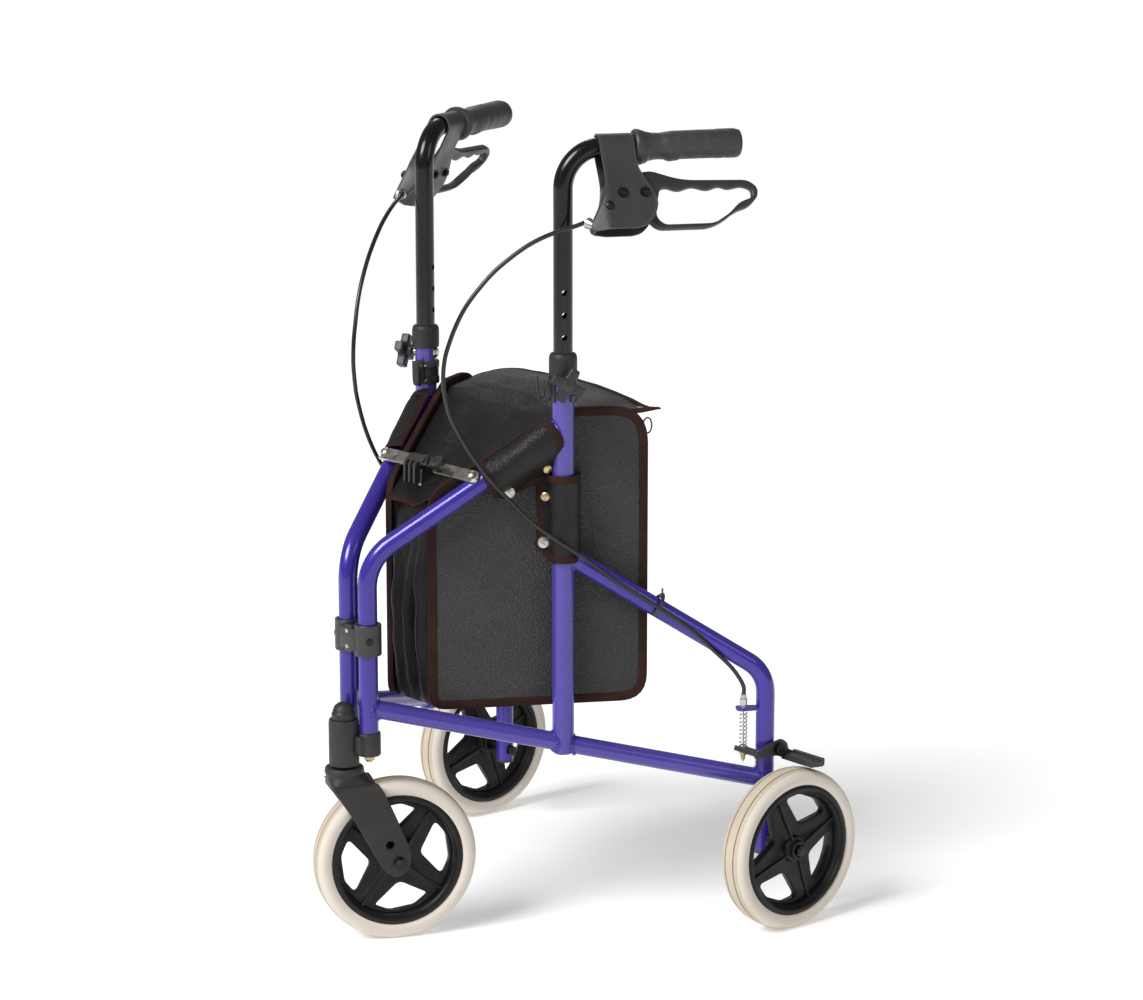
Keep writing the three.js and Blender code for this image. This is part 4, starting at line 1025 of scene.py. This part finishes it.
# ---- caster, bracket and hinge clamp ----
def caster():
    inner, thick = TYRE_HALF + 3, 6
    blade = rounded([(-18.5, 191, 1), (34, 191, 1.5), (40, 182, 6), (54, 151, 12), (72, 107, 9), (70, 86, 8),
                     (54, 76, 8), (38, 88, 8), (26, 111, 9), (2, 155, 10), (-13, 178, 5)])
    hexhole = [(47 + 5.4 * a, 117 + 5.4 * b) for a, b in circle(1, 6)]
    blades = [plate(blade, a, a + thick, 1.6, [hexhole], steps=4) for a in (-inner - thick, inner)]
    crown = lathe([(0, 200), (21.6, 200), (22.4, 201.4), (22.7, 203.6), (22.4, 206.4), (21.4, 208.2),
                   (18.8, 208.8), (18, 207.6), (12.6, 207.6), (12.6, 210), (0, 210)], sides=56)
    hood = []
    for share in (0, 0.1, 0.2, 0.35, 0.5, 0.65, 0.8, 0.92, 1):
        power = 2 / (2 + 6 * share ** 2)
        along, across = 21.6 + 6.2 * share, 21.6 + (inner + thick - 21.8) * share
        ring = []
        for a, b in circle(1, 72):
            ring.append((math.copysign(abs(a) ** power, a) * along + 9 * share,
                         math.copysign(abs(b) ** power, b) * across, 202 - 17 * share))
        hood.append(ring)
    single("fork", joined(crown, loft(hood), *blades), CASTER, "caster", GREY_PLASTIC,
           ["caster_fork"])
    stem = lathe([(0, 204), (6, 204), (6, 262), (0, 262)], (0, 0, 0), (0, 0, 1))
    single("fork_stem", stem, CASTER, "caster", NICKEL, ["caster_stem"])
    axle = Shape()
    for way in (-1, 1):
        seat = Vector((TRAIL, way * (inner + thick), WHEEL_R))
        axle.add(washer(seat, (0, way, 0), 8, 1.1, 32),
                 hexagon(seat + Vector((0, way, 0)), (0, way, 0), 7, 4.2),
                 rod((TRAIL, way * 16, WHEEL_R), (TRAIL, way * inner, WHEEL_R), 7))
    axle.add(rod((TRAIL, -32, WHEEL_R), (TRAIL, 32, WHEEL_R), 4))
    single("fork_axle", axle, CASTER, "caster", DARK_BOLT, ["front_axle"])

    base = (0, STEM_Y, 0)
    housing = lathe([(8, 210.4), (16.4, 210.4), (17.4, 211.4), (17.4, 262), (16.6, 264.4), (15.6, 264.6),
                     (15, 263.6), (8, 263.6)], base, (0, 0, 1), 56, closed=True)
    posts = [rod((k * POST_OFFSET, 0, 249.2), (k * POST_OFFSET, 0, 270), TUBE_R + 0.9) for k in (-1, 1)]
    housing = drilled(housing, posts)
    bosses = [lathe([(0, 222), (12.4, 222), (13.4, 223), (13.4, 247.6), (12.6, 249), (0, 249)],
                    (k * POST_OFFSET, 0, 0), (0, 0, 1), 44) for k in (-1, 1)]
    web = block((-POST_OFFSET - 7, STEM_Y + 3, 225), (POST_OFFSET + 7, 4, 246), 2.5)
    front_pad = block((-11, STEM_Y - 4, 226), (11, STEM_Y + 8, 244), 2.5)
    single("stem_bracket", joined(housing, *bosses, web, front_pad), WORLD, "root", GREY_PLASTIC,
           ["caster_bracket"])
    cap = lathe([(0, 263.8), (13.8, 263.8), (14.2, 265), (13.8, 271.6), (12.8, 272.6), (12.2, 276),
                 (10.2, 280), (6.6, 283), (3, 284), (0, 284.2)], base, (0, 0, 1), 40)
    single("stem_cap", cap, WORLD, "root", GREY_PLASTIC, ["caster_cap"])
    for side, sign in SIDES:
        x = sign * POST_OFFSET
        bolt = joined(hexagon((x, 0, 221.4), (0, 0, -1), 6.6, 5),
                      washer((x, 0, 222), (0, 0, -1), 7.6, 1.2),
                      rod((x, 0, 214), (x, 0, POST_BOTTOM_Z + 20), 3.8))
        single(f"hinge_bolt_{side}", bolt, WORLD, "root", BRASS, [f"post_bolt_{side}"])

    low, high, r = 340, 376, TUBE_R + 0.5
    rings = [lathe([(r, low + 0.8), (r + 0.6, low), (15, low), (15.6, low + 0.8), (15.6, high - 0.8),
                    (15, high), (r + 0.6, high), (r, high - 0.8)], (k * POST_OFFSET, 0, 0), (0, 0, 1), 48,
                   closed=True) for k in (-1, 1)]
    ears = [block((-7, y - 3, low + 2), (7, y + 3, high - 2), 1.6) for y in (-12, 12)]
    straps = [block((-POST_OFFSET + 4, y - 1.6, low + 5), (POST_OFFSET - 4, y + 1.6, high - 5), 1.2)
              for y in (-14.2, 14.2)]
    single("hinge_band", joined(*rings, *ears, *straps), WORLD, "root", BLACK_PLASTIC,
           ["hinge_clamp"])
    rivets = Shape()
    for z in (low + 9, high - 9):
        rivets.add(lathe([(0, 0), (2.9, 0), (2.5, 1.3), (0, 1.9)], (0, -15.2, z), (0, -1, 0), 20))
    single("hinge_band_rivets", rivets, WORLD, "root", NICKEL)
    screws = [lathe([(0, 0), (4.4, 0), (4.2, 1), (2.4, 1.4), (2.2, 0.6), (0, 0.6)],
                    (k * (POST_OFFSET + 13.4), -7.4, 358), (k * 0.87, -0.49, 0), 24) for k in (-1, 1)]
    single("hinge_band_screws", joined(*screws), WORLD, "root", DARK_BOLT)


# ---- brace ----
def brace():
    rivet_x = POST_OFFSET + BRACE_S * SIN_A
    flat = Matrix.Rotation(math.pi / 2, 4, "X")
    near_end = [(LINK_END, -8, 7.5), (rivet_x + 4.5, -8, 2), (rivet_x + 9, -3.6, 2),
                (rivet_x + 9, 3.6, 2), (rivet_x + 4.5, 8, 2), (LINK_END, 8, 7.5)]
    far_end = [(LINK_END, -8, 7.5), (rivet_x + 4, -8, 2), (rivet_x + 9, -3.6, 2),
               (rivet_x + 7.6, 3.2, 3), (rivet_x + 1, 6.6, 3), (rivet_x - 6, 4.4, 3), (rivet_x - 11, 8, 3),
               (LINK_END, 8, 7.5)]
    slot = rounded([(rivet_x - 21, -2.5, 1), (rivet_x - 18, -2.5, 1), (rivet_x - 18, 5, 1),
                    (rivet_x - 21, 5, 1)])
    for side, sign in SIDES:
        level = LINK_LEVEL if sign > 0 else LINK_LEVEL + LINK_T + 0.3
        link = plate(rounded(near_end if sign > 0 else far_end), -LINK_T, 0, 0.5,
                     [] if sign > 0 else [slot]).moved(shifted(0, 0, level) @ flat)
        if sign < 0:
            link.add(block((20, -9.2, level - 3.2), (rivet_x + 5, -7.4, level + 1), 0.6))
        on_side(side, sign, "brace_bar", link, BRACE, "link", NICKEL, ["brace_link"])
        stud = lathe([(0, 3), (7, 3), (7, level - 0.3), (3.2, level - 0.2), (3.2, level + LINK_T),
                      (5.2, level + LINK_T + 0.1), (5, level + LINK_T + 1.4), (3.6, level + LINK_T + 2.6),
                      (0, level + LINK_T + 3.2)], (rivet_x, 0, 0), (0, 0, 1), 32)
        on_side(side, sign, "brace_rivet", stud, BRACE, "frame", NICKEL, ["brace_pin"])
    top = LINK_LEVEL + 2 * LINK_T + 0.3
    button = lathe([(0, top + 0.4), (7.6, top + 0.4), (8, top + 1), (8, top + 7), (7, top + 8.4),
                    (4.4, top + 8.8), (4, top + 8), (0, top + 8)], (25, 0, 0), (0, 0, 1), 36)
    pin = rod((-LATCH_PIN, 0, LINK_LEVEL + LINK_T + 0.6), (-LATCH_PIN, 0, top + 2), 4)
    cover = block((-33, -7, top + 0.4), (22, 6.4, top + 3.4), 1)
    collar = block((-9, -6, top + 3), (1, 5.6, top + 6), 1.4)
    ribs = [block((-1.2, -9, top + 0.5), (1.2, 7, top + 7), 0.8).moved(
        shifted(x, 0, 0) @ Matrix.Rotation(0.6, 4, "Z")) for x in (6, 14)]
    fins = []
    for x in (-26, -17, -8):
        side_view = rounded([(-6, top + 1, 0.5), (-6, top + 6.5, 2), (-12, top + 7, 2.5),
                             (-27, top - 12, 2.5), (-21.5, top - 17, 2.5), (-9, top - 1.5, 1),
                             (-9, top + 1, 0.5)])
        fins.append(plate(side_view, x, x + 3.6, 0.7).moved(Matrix.Rotation(-math.pi / 2, 4, "Z")
                                                           @ Matrix.Scale(-1, 4, (1, 0, 0))))
    lip = block((-31, -12, top + 0.4), (-7.4, -6, top + 3.4), 1)
    single("brace_latch", joined(button, pin, cover, collar, lip, *ribs, *fins), BRACE, "link_right",
           BLACK_PLASTIC, ["brace_clip"])
    catch_path = smooth_line([(-8.8, 0.7, 0), (-13, -3.8, 0), (-18, -10.3, 0), (-22, -15.3, 0),
                              (-26, -16.8, 0), (-28, -13.3, 0)], 4)
    hooks = []
    for low, high in ((-29, -20), (-12, -3)):
        middle = (low + high) / 2
        path = [Vector((middle, p.x, LINK_LEVEL + p.y)) for p in catch_path]
        hooks.append(sweep(path, rounded_section(0.8, (high - low) / 2, 0.4, 2), ups=(1, 0, 0)))
    single("brace_catch", joined(*hooks), BRACE, "link_right", NICKEL)


# ---- bag ----
def crumple(p, size, depth, seed):
    """A gentle, repeatable unevenness in soft cloth."""
    return depth * noise.noise(Vector((p.x / size + seed, p.y / size, p.z / size)))


def panel_outline():
    return rounded([(BAG_FRONT_S, BAG_BOTTOM_Z, 18), (BAG_BACK_S, BAG_BOTTOM_Z, 30), (BAG_BACK_S, 612, 42),
                    (238, 612, 10), (190, 586, 10), (BAG_FRONT_S, 520, 24)], 8)


def resampled(points, step):
    """A closed outline with points an even distance apart."""
    points = [Vector(p) for p in points]
    spans = [(points[(i + 1) % len(points)] - p).length for i, p in enumerate(points)]
    count = int(sum(spans) / step)
    result, i, done = [], 0, 0.0
    for k in range(count):
        want = sum(spans) * k / count
        while done + spans[i] < want:
            done += spans[i]
            i += 1
        t = (want - done) / spans[i]
        result.append(points[i].lerp(points[(i + 1) % len(points)], t))
    return result


def side_panel():
    """A stiffened side: a padded slab of vinyl, lightly creased, in a binding that wraps its edge."""
    outline = resampled(panel_outline(), 7)
    middle = Vector((200, 430))
    faces, rows = [], 22
    for way, base in ((-1, PANEL_FACE + 0.6), (1, PANEL_FACE + PANEL_T - 0.6)):
        rings = []
        for i in range(rows):
            share = 1 - i / rows
            ring = []
            for p in outline:
                q = middle + (p - middle) * share
                swell = 1.3 * (1 - share ** 6)
                crease = 1.1 * math.exp(-((q.y - 402 - 6 * math.sin(q.x / 60)) / 5) ** 2)
                crease += 0.7 * math.exp(-((q.y - 335 + 0.16 * q.x) / 7) ** 2)
                depth = swell - crease * min(1, 4 * (1 - share))
                depth += crumple(Vector((q.x, base, q.y)), 55, 0.9, 3.1) * (1 - share ** 8)
                ring.append((q.x, base + way * depth, q.y))
            rings.append(ring)
        faces.append(rings)
    outside, inside = faces
    body = loft(list(reversed(outside)) + inside)
    for panel in pair("side_panel", body, FRAME, "frame", VINYL, ["bag_panel"], angle=60):
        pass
    middle_y = PANEL_FACE + PANEL_T / 2
    path = [(p.x, middle_y, p.y) for p in outline]
    section = [(-a + 3.4, b) for a, b in rounded_section(5.2, PANEL_T / 2 + 1.1, 1.3, 3)]
    tape = sweep(path, section, closed=True, ups=(0, 1, 0))
    pair("panel_binding", tape, FRAME, "frame", BINDING, angle=50)


def sheet_strip(rows, thick):
    """A soft sheet through rows of points, with a thickness on its inner side."""
    count = len(rows[0])
    rings = []
    for i, line in enumerate(rows):
        ring = []
        for k, p in enumerate(line):
            along = rows[min(i + 1, len(rows) - 1)][k] - rows[max(i - 1, 0)][k]
            across = line[min(k + 1, count - 1)] - line[max(k - 1, 0)]
            ring.append((p, along.cross(across).normalized()))
        rings.append([p for p, _ in ring] + [p + n * thick for p, n in reversed(ring)])
    return loft(rings)


def ribbon(path, normals, width):
    """A flat tape along a path, lying across the surface whose normals are given."""
    return sweep(path, rounded_section(width / 2, TAPE_T / 2, 0.7, 2), ups=normals)


def diagonal_point(c, y, h):
    """A point by its distance along the diagonal, its offset inboard and its height square to the tube."""
    return Vector((c * math.cos(SLOPE) - h * math.sin(SLOPE), y,
                   FRONT_BEND_Z + c * math.sin(SLOPE) + h * math.cos(SLOPE)))


def sleeve():
    """The sleeve that wraps the front diagonal, with its snapped flap and bound edges."""
    section = smooth_line([(13, 17, 0), (6, 17.2, 0), (-4, 16, 0), (-11.5, 10.8, 0), (-15, 2.5, 0),
                           (-15.2, -6, 0), (-13, -13.5, 0), (-8, -20, 0), (-1.5, -26, 0), (5, -31.5, 0),
                           (9, -35.5, 0)], 4)
    rows, steps = [], 26
    for i in range(steps + 1):
        share = i / steps
        line = []
        for k, p in enumerate(section):
            low = k / (len(section) - 1)
            start = 163 - 7 * low + 14 * max(0.0, (low - 0.8) / 0.2) ** 2
            stop = between(low, [(0, 258), (0.45, 260), (0.75, 252), (0.9, 240), (1, 222)])
            c = start + (stop - start) * share
            puff = 1 + 0.05 * math.sin(math.pi * share) + 0.02 * math.sin(c / 9)
            drop = -5 * share * max(0.0, (low - 0.6) / 0.4)
            height = p.y if p.y > -14 else -14 + (p.y + 14) * (0.72 + 0.33 * share)
            q = diagonal_point(c, p.x * (puff if p.x < 0 else 1), height * puff + drop)
            line.append(q + Vector((0, crumple(q, 22, 1.6, 7.7), crumple(q, 26, 1.2, 1.3))))
        rows.append(line)
    wraps = pair("sleeve_wrap", sheet_strip(rows, 1.3), FRAME, "frame", SOFT_VINYL, angle=70)

    tapes = taped([(column(rows, 0), column(rows, 1)), (column(rows, -1), column(rows, -2)),
                   (rows[0], rows[1]), (rows[-1], rows[-2])])
    bindings = pair("sleeve_binding", tapes, FRAME, "frame", BINDING, angle=50)
    return rows


def column(rows, k):
    return [row[k] for row in rows]


def taped(edges, inset=4.0, width=9.0):
    """Tape along a sheet's edges, each given with the line of points next to it."""
    return joined(*(ribbon(*border(line, neighbour, inset), width) for line, neighbour in edges))


def border(line, neighbour, inset):
    """The middle line of a tape along a sheet's edge, and the sheet's normals there."""
    path, normals = [], []
    for k, p in enumerate(line):
        inward = (neighbour[k] - p).normalized()
        along = (line[min(k + 1, len(line) - 1)] - line[max(k - 1, 0)]).normalized()
        normal = along.cross(inward).normalized()
        path.append(p + inward * inset)
        normals.append(normal)
    return path, normals


def upright_wrap():
    """The flap that wraps the upright below the sleeve."""
    section = smooth_line([(-27, 13.6, 0), (-22, 9.5, 0), (-17.4, 1, 0), (-15, -7.5, 0), (-9, -14, 0),
                           (0, -16.6, 0), (9, -14.4, 0), (16, -8, 0), (19.5, 2, 0), (22.5, 13.6, 0)], 4)
    rows, steps = [], 22
    for i in range(steps + 1):
        share = i / steps
        line = []
        for k, p in enumerate(section):
            left = 1 - k / (len(section) - 1)
            low = 440 + 15 * max(0.0, left - 0.72) / 0.28
            high = 540 - 12 * max(0.0, left - 0.8) / 0.2
            z = low + (high - low) * share
            q = Vector((UPRIGHT_S + p.x, p.y, z))
            waist = 1 - 0.04 * math.sin(math.pi * share)
            q.y = q.y * waist
            line.append(q + Vector((crumple(q, 24, 1.0, 5.5), crumple(q, 20, 1.4, 9.1), 0)))
        rows.append(line)
    wraps = pair("upright_wrap", sheet_strip(rows, 1.3), FRAME, "frame", SOFT_VINYL, angle=70)
    tapes = taped([(rows[0], rows[1]), (rows[-1], rows[-2]), (column(rows, 0), column(rows, 1))])
    bindings = pair("wrap_binding", tapes, FRAME, "frame", BINDING, angle=50)
    return rows


def seated(cloth, target, out):
    """Where a push against out, through the target, first meets the cloth."""
    target, out = Vector(target), Vector(out).normalized()
    near = []
    for line in cloth:
        for p in line:
            reach = (p - target).dot(out)
            if (p - target - out * reach).length < 4.5:
                near.append(reach)
    return target + out * (max(near) if near else 0.0)


def snaps(flap, wrap):
    """Domed snaps on the flaps, and one slotted screw."""
    silver, gold = Shape(), Shape()
    out = Vector((0.12, -0.95, -0.28))
    aside = Vector((-0.35, -0.94, 0))
    dome = [(0, -3), (7, -3), (7.2, 0.4), (6.2, 1.8), (4, 2.8), (0, 3.2)]
    small = [(0, -3), (5.4, -3), (5.6, 0.6), (5, 1.8), (3, 2.8), (0, 3.1)]
    silver.add(lathe(dome, seated(flap, (163, 5.5, 522.5), out), out, 28))
    gold.add(lathe(small, seated(flap, (206, 1.5, 549), out), out, 28),
             lathe(small, seated(wrap, (206, 3.5, 515.5), aside), aside, 28))
    seat = seated(wrap, (204, 6.5, 461), aside)
    head = lathe([(0, -3), (7, -3), (7, 0.6), (6, 2), (4, 2.6), (0, 2.8)], seat, aside, 28)
    slot = block((-7.5, -1.2, -0.7), (7.5, 1.6, 0.7), 0.2)
    turn = Vector((0, 1, 0)).rotation_difference(aside).to_matrix().to_4x4()
    slot.moved(Matrix.Translation(seat + aside * 2.6) @ turn @ Matrix.Rotation(-0.5, 4, "Y"))
    silver.add(drilled(head, [slot]))
    pair("flap_snaps", silver, FRAME, "frame", NICKEL)
    pair("flap_snaps_brass", gold, FRAME, "frame", BRASS)
    loop = [Vector((BAG_BACK_S + 1 + 5 * math.sin(a), PANEL_FACE + 1, 590 + 9 * math.cos(a)))
            for a in [2 * math.pi * k / 24 for k in range(24)]]
    pair("corner_loop", sweep(loop, circle(1.0, 8), closed=True, ups=(0, 1, 0)), FRAME, "frame", SHEATH)


def half_width(y, inboard):
    """Half the bag's width at a distance back, for a line that runs inboard of the frame plane."""
    s = (y - inboard * SIN_A) / COS_A
    return POST_OFFSET + s * SIN_A - inboard * COS_A


def bag_piece(name, shape, look, angle, thick=0, nodes=()):
    """A piece of the bag's own cloth, carried by the root body and thickened when a thickness is given."""
    piece = build(name, shape, WORLD, [look], angle)
    if thick:
        thicken(piece, thick)
    fitted(piece, "root", nodes)
    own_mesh(piece)
    return piece


def gusset():
    """Front gusset, back and floor in one soft shell, deeply folded at the front."""
    inner = PANEL_FACE + PANEL_T + 0.4
    front_y, back_y = 78, 284
    rings = []
    top = [(front_y, 507), (110, 519), (190, 577), (225, 601), (back_y, 598)]
    levels = [0, 0.02, 0.05] + [0.1 + 0.9 * k / 20 for k in range(21)]
    plan = []
    for k in range(30):
        plan.append(("front", -1 + 2 * k / 29))
    for k in range(1, 24):
        plan.append(("right", k / 24))
    for k in range(30):
        plan.append(("back", 1 - 2 * k / 29))
    for k in range(1, 24):
        plan.append(("left", 1 - k / 24))
    for level in levels:
        ring = []
        for side, t in plan:
            if side in ("front", "back"):
                y = front_y if side == "front" else back_y
                x = t * half_width(y, inner)
            else:
                y = front_y + (back_y - front_y) * t
                x = half_width(y, inner) * (1 if side == "right" else -1)
            z = BAG_BOTTOM_Z + 2 + (between(y, top) - BAG_BOTTOM_Z - 2) * level
            soft = math.sin(math.pi * min(level * 1.05, 1)) ** 0.5
            if side == "front":
                fold = math.cos(t * 3.2 * math.pi + 1.5 * math.sin(level * 4)) * 5.5
                deep = 9 * math.exp(-((t - 0.12 * math.sin(level * 5)) / 0.22) ** 2)
                y += (deep - fold - 6) * soft * (1 - t * t) ** 0.35
            if side == "back":
                y += (7 + 2.5 * math.cos(t * 7 + level * 3)) * soft * (1 - t ** 4)
            tuck = 1 - 0.04 * max(0.0, 1 - level * 12)
            p = Vector((x * tuck, y, z))
            ring.append(p + Vector((0, crumple(p, 38, 5 * soft, 2.2), crumple(p, 60, 3 * soft, 4.4))))
        rings.append(ring)
    shell = loft(rings, caps=False)
    bottom = [[Vector((p.x * m, 180 + (p.y - 180) * m, p.z + 1.5 * crumple(p, 40, 2, 1.1)))
               for p in rings[0]] for m in (0.02, 0.4, 0.75, 0.95)]
    floor_part = loft(bottom + [rings[0]], caps=False)
    piece = bag_piece("bag_gusset", joined(shell, floor_part), SOFT_VINYL, 70, 1.2, ["bag_shell"])
    front = slice(1, 29)
    binding = bag_piece("gusset_binding", taped([(rings[-1][front], rings[-2][front])], 4.5), BINDING, 50)


def thicken(piece, amount):
    """Turns a sheet into cloth of a real thickness."""
    solid = piece.modifiers.new("cloth", "SOLIDIFY")
    solid.thickness = amount * MM
    solid.offset = -1
    bpy.context.view_layer.update()
    evaluated = piece.evaluated_get(bpy.context.evaluated_depsgraph_get())
    mesh = bpy.data.meshes.new_from_object(evaluated)
    piece.modifiers.clear()
    piece.data = mesh


LID_PROFILE = [(62, 508.5), (85, 517), (110, 527), (135, 545), (160, 565), (185, 586), (208, 603),
               (232, 617), (258, 625), (282, 627), (302, 624)]
LID_FRONT = 62
LID_BACK = 302


def lid_point(a, y):
    """The lid's surface: a across from -1 to 1, and y back from the front posts."""
    inner = PANEL_FACE + PANEL_T + 1.6
    wide = half_width(y, inner)
    s = (y - inner * SIN_A) / COS_A
    edge = straight(s, [(BAG_FRONT_S, 512), (190, 579), (238, 605), (360, 605)])
    crown = straight(y, LID_PROFILE)
    z = crown + (edge - crown) * abs(a) ** 2.6
    corner = between(y, [(262, 0), (LID_BACK, 1)]) * between(a, [(0.86, 0), (1, 1)])
    x = a * (wide + 16 * corner)
    z += 6 * corner ** 3
    soft = (1 - abs(a) ** 6)
    blob = 7 * math.exp(-((x + 34) / 17) ** 2 - ((y - 128) / 20) ** 2)
    blob += 5 * math.exp(-((x - 22) / 14) ** 2 - ((y - 104) / 16) ** 2)
    fold = 1.6 * math.sin((x + 0.5 * y) / 15) * math.exp(-((y - 150) / 45) ** 2)
    cross = 1.1 * math.sin((y + 0.3 * abs(x)) / 10) * math.exp(-((y - 240) / 30) ** 2)
    p = Vector((x, y, z))
    p.z += soft * (blob * 0.6 + fold + cross * 0.7 + crumple(p, 52, 3.0, 6.1) + crumple(p, 19, 0.6, 8.3))
    return p


def lid():
    across, back = 64, 76
    rows = []
    for i in range(back + 1):
        y = LID_FRONT + (LID_BACK - LID_FRONT) * i / back
        rows.append([lid_point(-1 + 2 * k / across, y) for k in range(across + 1)])
    piece = bag_piece("bag_lid_cover", loft(rows, around=False), SOFT_VINYL, 80, 1.4, ["bag_lid"])
    rear = rows[int(back * 0.86):]
    edges = [(rows[0], rows[1]), (rows[-1], rows[-2]), (column(rear, 0), column(rear, 1)),
             (column(rear, -1), column(rear, -2))]
    binding = bag_piece("lid_binding", taped(edges, 3.5, 8), BINDING, 50)
    stud = lathe([(0, -0.5), (4.6, -0.5), (4.6, 1.4), (3.4, 2.6), (0, 3)], lid_point(0.93, LID_BACK - 9),
                 (0, 0, -1), 24)
    snap = bag_piece("lid_snap", stud, NICKEL, 35)


def bag():
    side_panel()
    snaps(sleeve(), upright_wrap())
    gusset()
    lid()


# ---- camera, floor and light ----
def aimed(thing, place, target):
    thing.location = place
    thing.rotation_euler = (Vector(target) - Vector(place)).to_track_quat("-Z", "Y").to_euler()
    bpy.context.scene.collection.objects.link(thing)


CAMERA_PLACE = (3.0499, -2.4264, 1.3243)
CAMERA_AZIMUTH = 0.691
CAMERA_TILT = 0.212
FOCAL_LENGTH = 107.36
SKY_LIGHT = 0.2     # what the backdrop gives as light
SKY_SEEN = 1.0      # how bright the backdrop looks to the camera
FLOOR_REACH = 12
FLOOR_DROP = 0.0004


def studio():
    scene = bpy.context.scene
    lens = bpy.data.cameras.new("camera")
    lens.lens = FOCAL_LENGTH
    lens.sensor_width = 36
    camera = bpy.data.objects.new("camera", lens)
    camera.location = CAMERA_PLACE
    camera.rotation_euler = (math.pi / 2 - CAMERA_TILT, 0, math.pi / 2 - CAMERA_AZIMUTH)
    scene.collection.objects.link(camera)
    scene.camera = camera

    world = bpy.data.worlds.new("studio")
    scene.world = world
    world.use_nodes = True
    nodes, links = world.node_tree.nodes, world.node_tree.links
    sky = nodes["Background"]
    sky.inputs["Strength"].default_value = 1.0
    rays = nodes.new("ShaderNodeLightPath")
    shade = nodes.new("ShaderNodeMapRange")
    shade.inputs["To Min"].default_value = SKY_LIGHT
    shade.inputs["To Max"].default_value = SKY_SEEN
    links.new(rays.outputs["Is Camera Ray"], shade.inputs["Value"])
    links.new(shade.outputs["Result"], sky.inputs["Color"])
    sun = bpy.data.lights.new("key", "SUN")
    sun.energy = 2.7
    sun.angle = 0.5
    aimed(bpy.data.objects.new("key", sun), (0.2, -3.2, 2.9), (0, 0, 0))
    for name, place, size, power in (("softbox", (-0.4, -3.2, 3.0), 1.3, 24),
                                     ("fill", (3.4, 0.9, 2.3), 1.5, 15), ("rim", (-2.2, 1.6, 2.8), 1.0, 14)):
        light = bpy.data.lights.new(name, "AREA")
        light.energy = power
        light.size = size
        aimed(bpy.data.objects.new(name, light), place, (0, 0, 0.45))

    mesh = bpy.data.meshes.new("floor")
    corners = [(x * FLOOR_REACH, y * FLOOR_REACH, 0) for x, y in ((-1, -1), (1, -1), (1, 1), (-1, 1))]
    mesh.from_pydata(corners, [], [(0, 1, 2, 3)])
    floor = bpy.data.objects.new("floor", mesh)
    floor.location.z = -FLOOR_DROP
    look = Look("pale_floor", 1.0, specular=0.0)  # glows a little, so that the studio's floor reads as white
    look.shader.inputs["Emission Color"].default_value = (1, 1, 1, 1)
    look.shader.inputs["Emission Strength"].default_value = 0.3
    look.colour(look.mix(look.noise(3, 2), (0.9, 0.9, 0.9), (0.92, 0.92, 0.92)))
    mesh.materials.append(look.material)
    scene.collection.objects.link(floor)
    scene.view_settings.view_transform = "Standard"


studio()
frame_tubes()
collar_and_clip()
star_knob()
handle_bar()
hand_grip()
brake_housing()
loop_lever()
brake_cable()
cable_stop()
brake_arm()
wheels()
caster()
brace()
bag()
